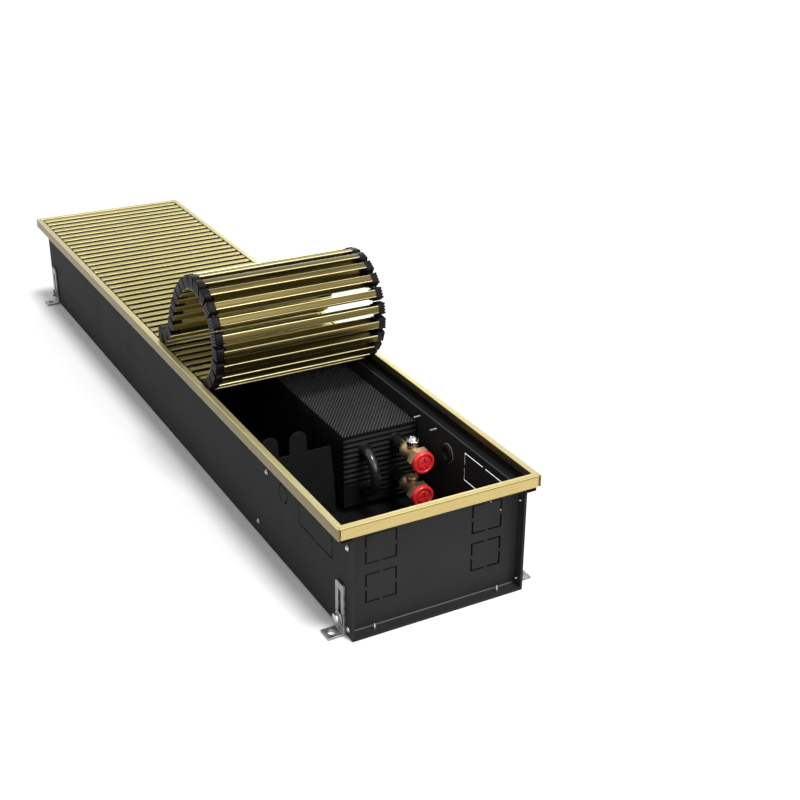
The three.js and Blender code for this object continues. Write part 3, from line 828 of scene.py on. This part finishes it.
def placed(parts, places):
    """Parts made anew at each of some places."""
    return [moved(part, place) for place in places for part in parts()]


class CONVECTOR_OT_field(bpy.types.Operator):
    """Builds the flat part of the grille"""

    bl_idname = "convector.field"
    bl_label = "Grille, flat part"

    def execute(self, context):
        rounding = context.scene.convector_sizes.slat_round / MM
        places = [shift(FIRST_SLAT + i * PITCH, 0, WIRE_Z) for i in range(FIELD_SLATS)]
        last = FIRST_SLAT + (FIELD_SLATS - 1) * PITCH
        bars = placed(lambda: slat_bar(rounding), places)
        # The slats' edge faces get a painted highlight and their undersides painted shade.
        slats = piece("field_slats", bars, finish("slat_gold"), CASING, "grille_gold", "grille_field", edges=0.7)
        mark_shaded_undersides(slats, shift(z=WIRE_Z))
        piece("field_caps", placed(slat_caps, places), finish("slat_cap"), CASING, "grommet_rubber")
        wires = placed(lambda: wire_runs(FIRST_SLAT, last), [shift(z=WIRE_Z)])
        piece("field_wires", wires, finish("wire"), CASING, "zinc_steel")
        return {"FINISHED"}


class CONVECTOR_OT_roll(bpy.types.Operator):
    """Builds the rolled slats, each on its own body"""

    bl_idname = "convector.roll"
    bl_label = "Grille, rolled part"

    def execute(self, context):
        rounding = context.scene.convector_sizes.slat_round / MM
        half = PITCH / 2 - 0.4
        for number, place in enumerate(curl_places(), 1):
            body = f"slat_{number:02d}"
            # The slats' edge faces get a painted highlight and their undersides painted shade.
            slat = piece(
                f"rolled_slat_{number:02d}", placed(lambda: slat_bar(rounding), [place]), finish("slat_gold"), body,
                "grille_gold", f"grille_slat_{number:02d}", edges=0.7,
            )
            mark_shaded_undersides(slat, place)
            caps = placed(slat_caps, [place])
            piece(f"rolled_caps_{number:02d}", caps, finish("slat_cap"), body, "grommet_rubber")
            wires = placed(lambda: wire_runs(-half, half), [place])
            piece(f"rolled_wire_{number:02d}", wires, finish("wire"), body, "zinc_steel")
        return {"FINISHED"}


# ---- Heat exchanger ----
def standing(bm, height):
    """A line of edges drawn up into a wall."""
    made = bmesh.ops.extrude_edge_only(bm, edges=bm.edges[:])
    raised = [item for item in made["geom"] if isinstance(item, bmesh.types.BMVert)]
    bmesh.ops.translate(bm, verts=raised, vec=at("Z", 0, 0, height))
    bmesh.ops.recalc_face_normals(bm, faces=bm.faces[:])
    return bm


def thickened(bm, sheet):
    """A skin made into a sheet."""
    bmesh.ops.solidify(bm, geom=bm.faces[:] + bm.edges[:] + bm.verts[:], thickness=sheet * MM)
    bmesh.ops.recalc_face_normals(bm, faces=bm.faces[:])
    return bm


def wave_fin(x, phase, cells, reach, sheet):
    """One corrugated fin: a strip that steps from side to side across the pack."""
    low, high = PACK_Y
    step = (high - low) / cells
    line = []
    for i in range(cells):
        way = reach if (i + phase) % 2 else -reach
        y = low + i * step
        line += [(x + way, y + step * 0.16), (x + way, y + step * 0.84)]
    bm = bmesh.new()
    verts = [bm.verts.new(at("Z", u, v, PACK_Z[0])) for u, v in line]
    for pair in zip(verts, verts[1:]):
        bm.edges.new(pair)
    return thickened(standing(bm, PACK_Z[1] - PACK_Z[0]), sheet)


def fin_face():
    """The closing sheet with its level ridges, which die out low on the open side."""
    (y0, y1), (z0, z1) = PACK_Y, PACK_Z
    ridges = 14
    bm = bmesh.new()
    bmesh.ops.create_grid(bm, x_segments=24, y_segments=ridges * 10, size=0.5)
    for vert in bm.verts:
        y = y0 + (vert.co.x + 0.5) * (y1 - y0)
        z = z0 + (vert.co.y + 0.5) * (z1 - z0)
        edge = min(y - y0, y1 - y) / 3
        low_side = (z - 34) / 12 + max(0, (y - 26) / 18)
        fade = max(0.0, min(1.0, edge, low_side))
        ridge = math.cos(math.tau * (z - z0) / ((z1 - z0) / ridges))
        vert.co = Vector((PACK_X[1] - 1.7 + 1.1 * ridge * fade, y, z)) * MM
    bmesh.ops.recalc_face_normals(bm, faces=bm.faces[:])
    return thickened(bm, 0.5)


def pipe_run():
    """The pipe: four straight runs joined by three half-round bends, swept from one ring."""
    near, far = PACK_X[1] + 1.5, PACK_X[0] - 2
    rows = [Vector((0, *row)) for row in PIPE_ROWS.values()]
    bm = bmesh.new()
    bmesh.ops.create_circle(bm, cap_ends=False, radius=PIPE * MM, segments=28)
    bmesh.ops.transform(bm, matrix=shift(PIPE_END, *PIPE_ROWS["supply"]) @ turn(90, "Y"), verts=bm.verts[:])
    ring = bm.edges[:]
    x = PIPE_END
    for row, following, goal in zip(rows, rows[1:], (far, near, far)):
        ring = pushed(bm, ring, goal - x)
        x = goal
        middle = (row + following) / 2 + Vector((goal, 0, 0))
        across = (following - row).normalized()
        way = Vector((-1 if goal == far else 1, 0, 0))
        verts = list({v for e in ring for v in e.verts})
        made = bmesh.ops.spin(
            bm, geom=verts + ring, cent=middle * MM, axis=(-across).cross(way), angle=math.pi, steps=18,
        )
        ring = [item for item in made["geom_last"] if isinstance(item, bmesh.types.BMEdge)]
    pushed(bm, ring, PIPE_END - x)
    bmesh.ops.remove_doubles(bm, verts=bm.verts[:], dist=1e-6)
    bmesh.ops.holes_fill(bm, edges=bm.edges[:], sides=0)
    bmesh.ops.recalc_face_normals(bm, faces=bm.faces[:])
    return bm


def pushed(bm, ring, distance):
    """The ring at the far end of a straight tube drawn from another."""
    made = bmesh.ops.extrude_edge_only(bm, edges=ring)
    verts = [item for item in made["geom"] if isinstance(item, bmesh.types.BMVert)]
    bmesh.ops.translate(bm, verts=verts, vec=Vector((distance, 0, 0)) * MM)
    fresh = set(verts)
    return [e for e in bm.edges if e.verts[0] in fresh and e.verts[1] in fresh]


def fin_collar(row, x):
    """A collar where a tube leaves the closing sheet."""
    inner = PIPE + 0.2
    profile = [(inner, x - 0.6), (8.6, x - 0.4), (7.4, x + 0.7), (PIPE + 0.6, x + 1.6), (inner, x + 1.6)]
    return moved(turned(profile + profile[:1], 28), shift(0, *row))


class CONVECTOR_OT_exchanger(bpy.types.Operator):
    """Builds the finned exchanger and its pipe"""

    bl_idname = "convector.exchanger"
    bl_label = "Exchanger"

    def execute(self, context):
        sizes = context.scene.convector_sizes
        pitch, sheet = sizes.fin_pitch / MM, sizes.fin_sheet / MM
        reach = pitch / 2 - sheet / 2
        count = int((FACE_X - SHOWN_FINS_X) / pitch)
        fins = [wave_fin(FACE_X - i * pitch, i % 2, sizes.fin_cells * 2, reach, sheet) for i in range(count)]
        piece("fins_shown", fins, finish("fin_coat"), CASING, "exchanger_coat", "fin_pack")
        covered = int((FACE_X - count * pitch - PACK_X[0]) / pitch)
        starts = [PACK_X[0] + i * pitch for i in range(covered)]
        plain_fins = [block((x, x + sheet), PACK_Y, PACK_Z) for x in starts]
        piece("fins_covered", plain_fins, finish("fin_coat"), CASING, "exchanger_coat")
        face = [fin_face()] + [fin_collar(row, PACK_X[1] - 1.5) for row in PIPE_ROWS.values()]
        piece("fin_face", face, finish("fin_face_coat"), CASING, "exchanger_coat")
        piece("pipe", [pipe_run()], finish("pipe_coat"), CASING, "exchanger_coat", "coil_tube", smooth=50)
        for name in ("coil_support_near", "coil_support_far"):
            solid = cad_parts[name]
            solid.data.materials.clear()
            solid.data.materials.append(finish("bracket_coat"))
        return {"FINISHED"}


# ---- Pipe fittings ----
def hex_collar(low, high, across, bore):
    """A six-sided collar about the X axis, bored from its mouth, its corners turned off at both ends."""
    radius = across / math.sqrt(3)
    bar = soften(disc("X", 0, 0, radius, low, high, 6), 0.3, 30, 2)
    inner, outer = radius * 0.93, radius * 1.3
    cones = [
        turned([(inner, end), (outer, end), (outer, end + depth), (inner, end)], 36)
        for end, depth in ((low, 2.2), (high, -2.2))
    ]
    return carved(carved(bar, cones), [disc("X", 0, 0, bore, low + 3, high + 1, 32)])


def fitting_body():
    """A turned brass fitting with a six-sided mouth and a boss on top, about the X axis."""
    start = FITTING_X[0] + 17
    end = start + 28.5
    profile = [
        (PIPE + 0.2, start), (8.6, start + 0.4), (9.2, start + 1.6), (9.8, start + 4), (9.8, start + 7),
        (8.8, start + 10), (8.8, start + 22), (9.6, start + 25), (10.2, end), (PIPE - 1, end),
        (PIPE - 1, start), (PIPE + 0.2, start),
    ]
    return [
        soften(turned(profile, 40), 0.25, 40, 2),
        hex_collar(end - 0.5, MOUTH_X, 25.2, 8.3),
        soften(disc("Z", BOSS_X, 0, 6.4, 7, BOSS_TOP - 0.3, 32), 0.4, 40, 2),
    ]


def fitting_neck():
    """The dark neck between the pipe and the brass body, about the X axis."""
    start = FITTING_X[0]
    end = start + 17.5
    inner = PIPE - 0.5
    profile = [(inner, start), (7.0, start + 0.3), (7.3, start + 1.2), (7.3, end), (inner, end), (inner, start)]
    return turned(profile, 36)


def red_cap():
    """A red closing cap about the X axis: a broad disc with a sunk ring and a cross."""
    tip, start, face = FITTING_X[1] + 0.6, MOUTH_X + 0.2, FITTING_X[1] + 12.3
    sunk = face - 1.9
    profile = [
        (0, tip), (7.9, tip), (7.9, start), (12.8, start), (13.4, start + 0.6), (13.4, face - 2.4),
        (13.1, face - 1.2), (12.4, face - 0.4), (11.4, face), (10.2, face), (9.8, face - 0.4), (9.5, sunk),
        (8.0, sunk), (7.7, face - 0.5), (7.2, face - 0.2), (0, face - 0.2),
    ]
    cap = turned(profile, 48)
    width, reach = (-0.85, 0.85), (-5.8, 5.8)
    for y, z in ((width, reach), (reach, width)):
        cap = carved(cap, [block((sunk, face + 2), y, z)])
    return soften(cap, 0.2, 45, 2)


def vent_knob(teeth):
    """A knurled knob with a domed top and a driver's slot, about the Z axis."""
    low = BOSS_TOP
    outline = []
    for i in range(teeth * 2):
        radius = 7.4 if i % 2 else 6.7
        outline.append((radius * math.cos(math.pi * i / teeth), radius * math.sin(math.pi * i / teeth)))
    wheel = soften(prism(outline, "Z", low + 0.6, low + 6.4), 0.35, 60, 1)
    dome = [
        (0, low + 10), (2.2, low + 9.9), (4.0, low + 9.3), (5.4, low + 8.2), (6.2, low + 6.8), (6.4, low + 6.2),
        (0, low + 6.2),
    ]
    top = carved(upright(dome, 36), [block((-9, 9), (-0.7, 0.7), (low + 8.4, low + 12))])
    foot = [(0, low - 4.4), (2.8, low - 4.4), (2.8, low - 0.3), (6.2, low), (7.0, low + 0.7), (0, low + 0.7)]
    return [wheel, top, upright(foot, 36)]


def drain_stub():
    """A low round screw head with a driver's slot, about the Z axis."""
    low = BOSS_TOP
    head = [
        (0, low - 4.4), (2.8, low - 4.4), (2.8, low - 0.3), (7.2, low), (7.5, low + 0.5), (7.5, low + 2.7),
        (7.0, low + 3.5), (5.6, low + 3.8), (0, low + 3.8),
    ]
    return carved(upright(head, 36), [block((-9, 9), (-0.7, 0.7), (low + 2.7, low + 6))])


class CONVECTOR_OT_fittings(bpy.types.Operator):
    """Builds the brass fittings, their red caps and the two screws on top"""

    bl_idname = "convector.fittings"
    bl_label = "Pipe fittings"

    def execute(self, context):
        for name in ("supply", "outlet"):
            row = shift(0, *PIPE_ROWS[name])
            body = [moved(part, row) for part in fitting_body()]
            piece(f"{name}_body", body, finish("brass"), CASING, "brass", f"{name}_fitting")
            piece(f"{name}_neck", [moved(fitting_neck(), row)], finish("pipe_coat"), CASING, "exchanger_coat")
            cap = moved(red_cap(), row)
            piece(f"{name}_red_cap", [cap], finish("red_plastic"), f"{name}_plug", "red_plastic", f"{name}_plug")
        parts = vent_knob(context.scene.convector_sizes.knob_teeth)
        knob = [moved(part, shift(BOSS_X, *PIPE_ROWS["supply"])) for part in parts]
        piece("vent_knob", knob, finish("chrome"), "vent_screw", "chrome", "vent_screw")
        stub = moved(drain_stub(), shift(BOSS_X, *PIPE_ROWS["outlet"]))
        piece("drain_stub", [stub], finish("brass"), "drain_screw", "brass", "drain_screw")
        return {"FINISHED"}


# ---- Brackets, feet and screws ----
def channel_plate():
    """The plate across the air channel, with two round-headed tabs and a flange on the wall."""
    low, left, shoulder = SHEET + 0.3, -(WALL - SHEET - 0.3), 88
    tab, tab_z = 10.6, 104.4
    outline = [(left, low), (-2, low), (-3, 30), (-5, 60), (-8, shoulder)]
    for centre in (-47.5, -82):
        outline.append((centre + tab, shoulder))
        outline += arc(centre, tab_z, tab, 0, math.pi, 14)
        outline.append((centre - tab, shoulder))
    outline.append((left, shoulder))
    plate = prism(outline, "X", CHANNEL_X, CHANNEL_X + SHEET)
    flange = block((CHANNEL_X, CHANNEL_X + 38), (left, left + SHEET), (7.5, 104))
    return [soften(plate, 0.2, 60, 1), soften(flange, 0.2, 60, 1)]


def foot_bracket():
    """A levelling foot at the near right corner, about x = 0."""
    inner, outer, width, top, toe = 100.4, 102.9, 9, 58, 120
    profile = [(inner, 0), (toe, 0), (toe, 2.5), (outer, 2.5), (outer, top), (inner, top)]
    body = prism(profile, "X", -width, width, [(3.2, 5, [0]), (0.8, 3, [3])])
    slot = arc(0, 47, 3, 0, math.pi, 8) + [(-3, 8), (3, 8)]
    corner = [(9.5, 59), (9.5, 55.5), (6, 59)]
    other = [(-9.5, 59), (-6, 59), (-9.5, 55.5)]
    cutters = [prism(slot, "Y", inner - 1, outer + 1), disc("Z", 0, 112, 4, -1, 4, 32)]
    cutters += [prism(outline, "Y", inner - 1, outer + 1) for outline in (corner, other)]
    return soften(carved(body, cutters), 0.25, 50, 1)


def foot_bolt():
    """A hexagon bolt with its washer outside and its nut inside, at the near right corner, about x = 0."""
    outer, inner = 103.2, WALL - SHEET - 0.3
    top = outer + 5.7
    chamfer = turned([(5.4, top), (7.5, top), (7.5, outer + 4.2), (5.4, top)], 30)
    chamfer = moved(chamfer, shift(0, 0, BOLT_Z) @ turn(90, "Z"))
    head = disc("Y", 0, BOLT_Z, 6.1, outer + 1.5, outer + 5.6, 6)
    return [
        soften(carved(head, [chamfer]), 0.25, 40, 2),
        soften(disc("Y", 0, BOLT_Z, 7.4, outer, outer + 1.4, 36), 0.25, 50, 1),
        disc("Y", 0, BOLT_Z, 2.6, inner - 4, outer + 1.6, 20),
        soften(disc("Y", 0, BOLT_Z, 6.1, inner - 4.5, inner, 6), 0.3, 40, 2),
    ]


def sheet_screw(span):
    """A pointed screw along the X axis from its tip to its flanged head."""
    profile = [(0, 0), (0.5, 0.8), (1.35, 2.6)]
    turns = max(2, int((span - 3) / 1.1))
    for i in range(turns):
        x = 2.8 + i * (span - 3) / turns
        profile += [(1.2, x), (1.65, x + 0.35), (1.2, x + 0.7)]
    profile += [
        (1.6, span - 0.1), (1.6, span), (3.0, span), (3.0, span + 0.5), (2.4, span + 0.7), (2.3, span + 1.5),
        (1.8, span + 1.9), (0, span + 1.9),
    ]
    return turned(profile, 16)


def wall_screw(x, z, side, tip=89.5):
    """A screw driven in through a side wall, its tip so far from the middle."""
    part = moved(sheet_screw(WALL + 0.4 - tip), shift(x, tip, z) @ turn(90, "Z"))
    return moved(part, flip(y=-1)) if side < 0 else part


def floor_screw(x, y):
    """A screw driven up through the floor."""
    profile = [(0, 0.1), (3.0, 0.1), (3.2, 0.9), (1.6, 1.1), (1.6, 6.4), (1.3, 8.0), (0.6, 9.6), (0, 10.4)]
    return moved(upright(profile, 16), shift(x, y))


def in_cable_hole(profile):
    """A profile turned about the axis of the cable hole in the right wall."""
    return moved(turned(profile, 40), shift(GROMMET[0], 0, GROMMET[1]) @ turn(90, "Z"))


def grommet_ring():
    """The moulded cable grommet."""
    return in_cable_hole([
        (0, 99), (6, 99), (6.8, 97), (7.5, 95.5), (9.4, 95.3), (10.8, 96), (10.8, 98.5), (9.2, 98.5), (9.2, 100.3),
        (11.6, 100.3), (11.2, 104), (9.9, 104.6), (8.5, 106), (7.2, 106.2), (6, 105.5), (5, 101), (0, 101),
    ])


class CONVECTOR_OT_bracket(bpy.types.Operator):
    """Builds the plate across the air channel"""

    bl_idname = "convector.bracket"
    bl_label = "Channel plate"

    def execute(self, context):
        piece("channel_plate", channel_plate(), finish("bracket_coat"), CASING, "bracket_coat", "channel_bracket")
        return {"FINISHED"}


class CONVECTOR_OT_feet(bpy.types.Operator):
    """Builds the four levelling feet and their bolts"""

    bl_idname = "convector.feet"
    bl_label = "Feet and bolts"

    def execute(self, context):
        for end, end_name in ((1, "near"), (-1, "far")):
            for side, side_name in ((-1, "left"), (1, "right")):
                corner = shift(end * FOOT_X) @ flip(y=side)
                name = f"{end_name}_{side_name}"
                foot = moved(foot_bracket(), corner)
                piece(f"leg_{name}", [foot], finish("galvanised"), f"foot_{name}", "galvanised", f"foot_{name}")
                bolt = [moved(part, corner) for part in foot_bolt()]
                piece(f"bolt_{name}", bolt, finish("zinc_steel"), CASING, "zinc_steel", f"foot_bolt_{name}")
        return {"FINISHED"}


class CONVECTOR_OT_screws(bpy.types.Operator):
    """Builds the sheet metal screws and the cable grommet"""

    bl_idname = "convector.screws"
    bl_label = "Screws and grommet"

    def execute(self, context):
        parts = []
        for side in (-1, 1):
            for end in (1, -1):
                parts += [wall_screw(end * x, z, side, 94.5) for x, z in END_SCREWS]
                parts.append(floor_screw(end * 525, side * 72))
        parts += [wall_screw(x, z, 1) for x, z in RIGHT_SCREWS]
        parts += [wall_screw(x, z, -1) for x, z in LEFT_SCREWS]
        solids = [f"end_screw_{side}_{i}" for side in ("left", "right") for i in (1, 2)]
        solids += ["floor_screw_left", "floor_screw_right", "wall_screw_1", "wall_screw_2"]
        piece("casing_screws", parts, finish("zinc_steel"), CASING, "zinc_steel", *solids)
        # A thin light ring round the grommet: a painted highlight on the hole's rim.
        rim = in_cable_hole([(10.9, 98.3), (11.5, 98.3), (11.5, 98.75), (10.9, 98.75), (10.9, 98.3)])
        piece("cable_rim_highlight", [rim], finish("highlight_steel"), CASING, "zinc_steel")
        piece("cable_ring", [grommet_ring()], finish("rubber"), CASING, "grommet_rubber", "cable_grommet")
        return {"FINISHED"}


# ---- Stage ----
def white_for_camera(tree):
    """1 for a ray from the camera or from a mirror or glass, else 0."""
    path = node(tree, "ShaderNodeLightPath").outputs
    seen = maths(tree, "MAXIMUM", path["Is Camera Ray"], path["Is Glossy Ray"])
    return maths(tree, "MAXIMUM", seen, path["Is Transmission Ray"])


def light_world(level):
    """A world that is white to the camera and in reflections, and lights the scene at a level."""
    world = bpy.data.worlds.new("studio")
    bpy.context.scene.world = world
    world.use_nodes = True
    tree = world.node_tree
    sockets = tree.nodes["Background"].inputs
    sockets["Color"].default_value = (1, 1, 1, 1)
    tree.links.new(spread(tree, white_for_camera(tree), level, 1.0), sockets["Strength"])


def floor_material(value):
    """A pale floor that reads white to the camera and keeps the object's shadow."""
    material, tree = new_material("floor", 0.0, 0.1)
    sockets = tree.nodes["Principled BSDF"].inputs
    sockets["Roughness"].default_value = 0.9
    sockets["Base Color"].default_value = (*value, 1)
    sockets["Emission Color"].default_value = (1, 1, 1, 1)
    tree.links.new(maths(tree, "MULTIPLY", white_for_camera(tree), 0.06), sockets["Emission Strength"])
    return material


def soft_lamp(name, place, aim, size, power):
    """A rectangular lamp that looks at a point."""
    lamp = bpy.data.lights.new(name, "AREA")
    lamp.shape = "RECTANGLE"
    lamp.size, lamp.size_y = size
    lamp.energy = power
    obj = linked(name, lamp)
    obj.location = place
    obj.rotation_euler = (Vector(aim) - Vector(place)).to_track_quat("-Z", "Y").to_euler()
    obj.visible_camera = False


def broad_lamp(name, way, angle, strength):
    """A far lamp, wide enough for soft shadows, that lights the whole floor evenly."""
    lamp = bpy.data.lights.new(name, "SUN")
    lamp.energy = strength
    lamp.angle = math.radians(angle)
    linked(name, lamp).rotation_euler = (-Vector(way)).to_track_quat("-Z", "Y").to_euler()


def add_camera():
    """The camera at the photograph's place and angle."""
    data = bpy.data.cameras.new("camera")
    data.sensor_width = CAMERA_FILM
    data.lens = CAMERA_LENS
    data.clip_start = 0.01
    obj = linked("camera", data)
    azimuth, elevation, roll = (math.radians(angle) for angle in CAMERA_TURN)
    look = -Vector((
        math.cos(elevation) * math.cos(azimuth), math.cos(elevation) * math.sin(azimuth), math.sin(elevation),
    ))
    right = look.cross(Vector((0, 0, 1))).normalized()
    up = right.cross(look)
    level, tilt = math.cos(roll), math.sin(roll)
    axes = Matrix((level * right + tilt * up, level * up - tilt * right, -look)).transposed()
    obj.matrix_world = Matrix.Translation(CAMERA_PLACE) @ axes.to_4x4()
    bpy.context.scene.camera = obj


class CONVECTOR_OT_stage(bpy.types.Operator):
    """Builds the floor, the lamps, the world and the camera"""

    bl_idname = "convector.stage"
    bl_label = "Stage"

    def execute(self, context):
        bm = bmesh.new()
        bmesh.ops.create_grid(bm, x_segments=1, y_segments=1, size=12)
        bmesh.ops.translate(bm, verts=bm.verts[:], vec=(0, 0, -0.0003))
        mesh = bpy.data.meshes.new("floor")
        bm.to_mesh(mesh)
        bm.free()
        mesh.materials.append(floor_material(context.scene.convector_colours.floor))
        floor = linked("floor", mesh)
        light_world(0.42)
        broad_lamp("lamp_key", (0.5, 0.11, 1.5), 14, 2.1)
        soft_lamp("lamp_front", (2.4, 0.4, 1.6), (0.3, 0, 0.1), (1.2, 1.2), 23)
        soft_lamp("lamp_back", (-2.6, 1.6, 1.3), (0, 0, 0.1), (1.2, 0.9), 8)
        add_camera()
        context.scene.view_settings.view_transform = "Standard"
        return {"FINISHED"}


class CONVECTOR_PT_panel(bpy.types.Panel):
    """Lists the pieces and their sizes and colours"""

    bl_idname = "CONVECTOR_PT_panel"
    bl_label = "Trench convector"
    bl_space_type = "VIEW_3D"
    bl_region_type = "UI"
    bl_category = "Convector"

    def draw(self, context):
        layout = self.layout
        for group in (context.scene.convector_sizes, context.scene.convector_colours):
            box = layout.box()
            for name in group.bl_rna.properties.keys():
                if name not in ("rna_type", "name"):
                    box.prop(group, name)
        for operator in PIECE_OPERATORS:
            layout.operator(operator.bl_idname)


PIECE_OPERATORS = (
    CONVECTOR_OT_casing, CONVECTOR_OT_rim, CONVECTOR_OT_field, CONVECTOR_OT_roll, CONVECTOR_OT_exchanger,
    CONVECTOR_OT_fittings, CONVECTOR_OT_bracket, CONVECTOR_OT_feet, CONVECTOR_OT_screws, CONVECTOR_OT_stage,
)
CLASSES = (ConvectorSizes, ConvectorColours, *PIECE_OPERATORS, CONVECTOR_PT_panel)


def register():
    """Registers the classes and puts the sizes and colours on the scene."""
    for cls in CLASSES:
        bpy.utils.register_class(cls)
    bpy.types.Scene.convector_sizes = PointerProperty(type=ConvectorSizes)
    bpy.types.Scene.convector_colours = PointerProperty(type=ConvectorColours)


def unregister():
    """Takes the classes and properties away again."""
    del bpy.types.Scene.convector_colours
    del bpy.types.Scene.convector_sizes
    for cls in reversed(CLASSES):
        bpy.utils.unregister_class(cls)


def main():
    """Builds every piece in order."""
    register()
    for operator in PIECE_OPERATORS:
        group, name = operator.bl_idname.split(".")
        getattr(getattr(bpy.ops, group), name)()


if __name__ == "__main__":
    main()
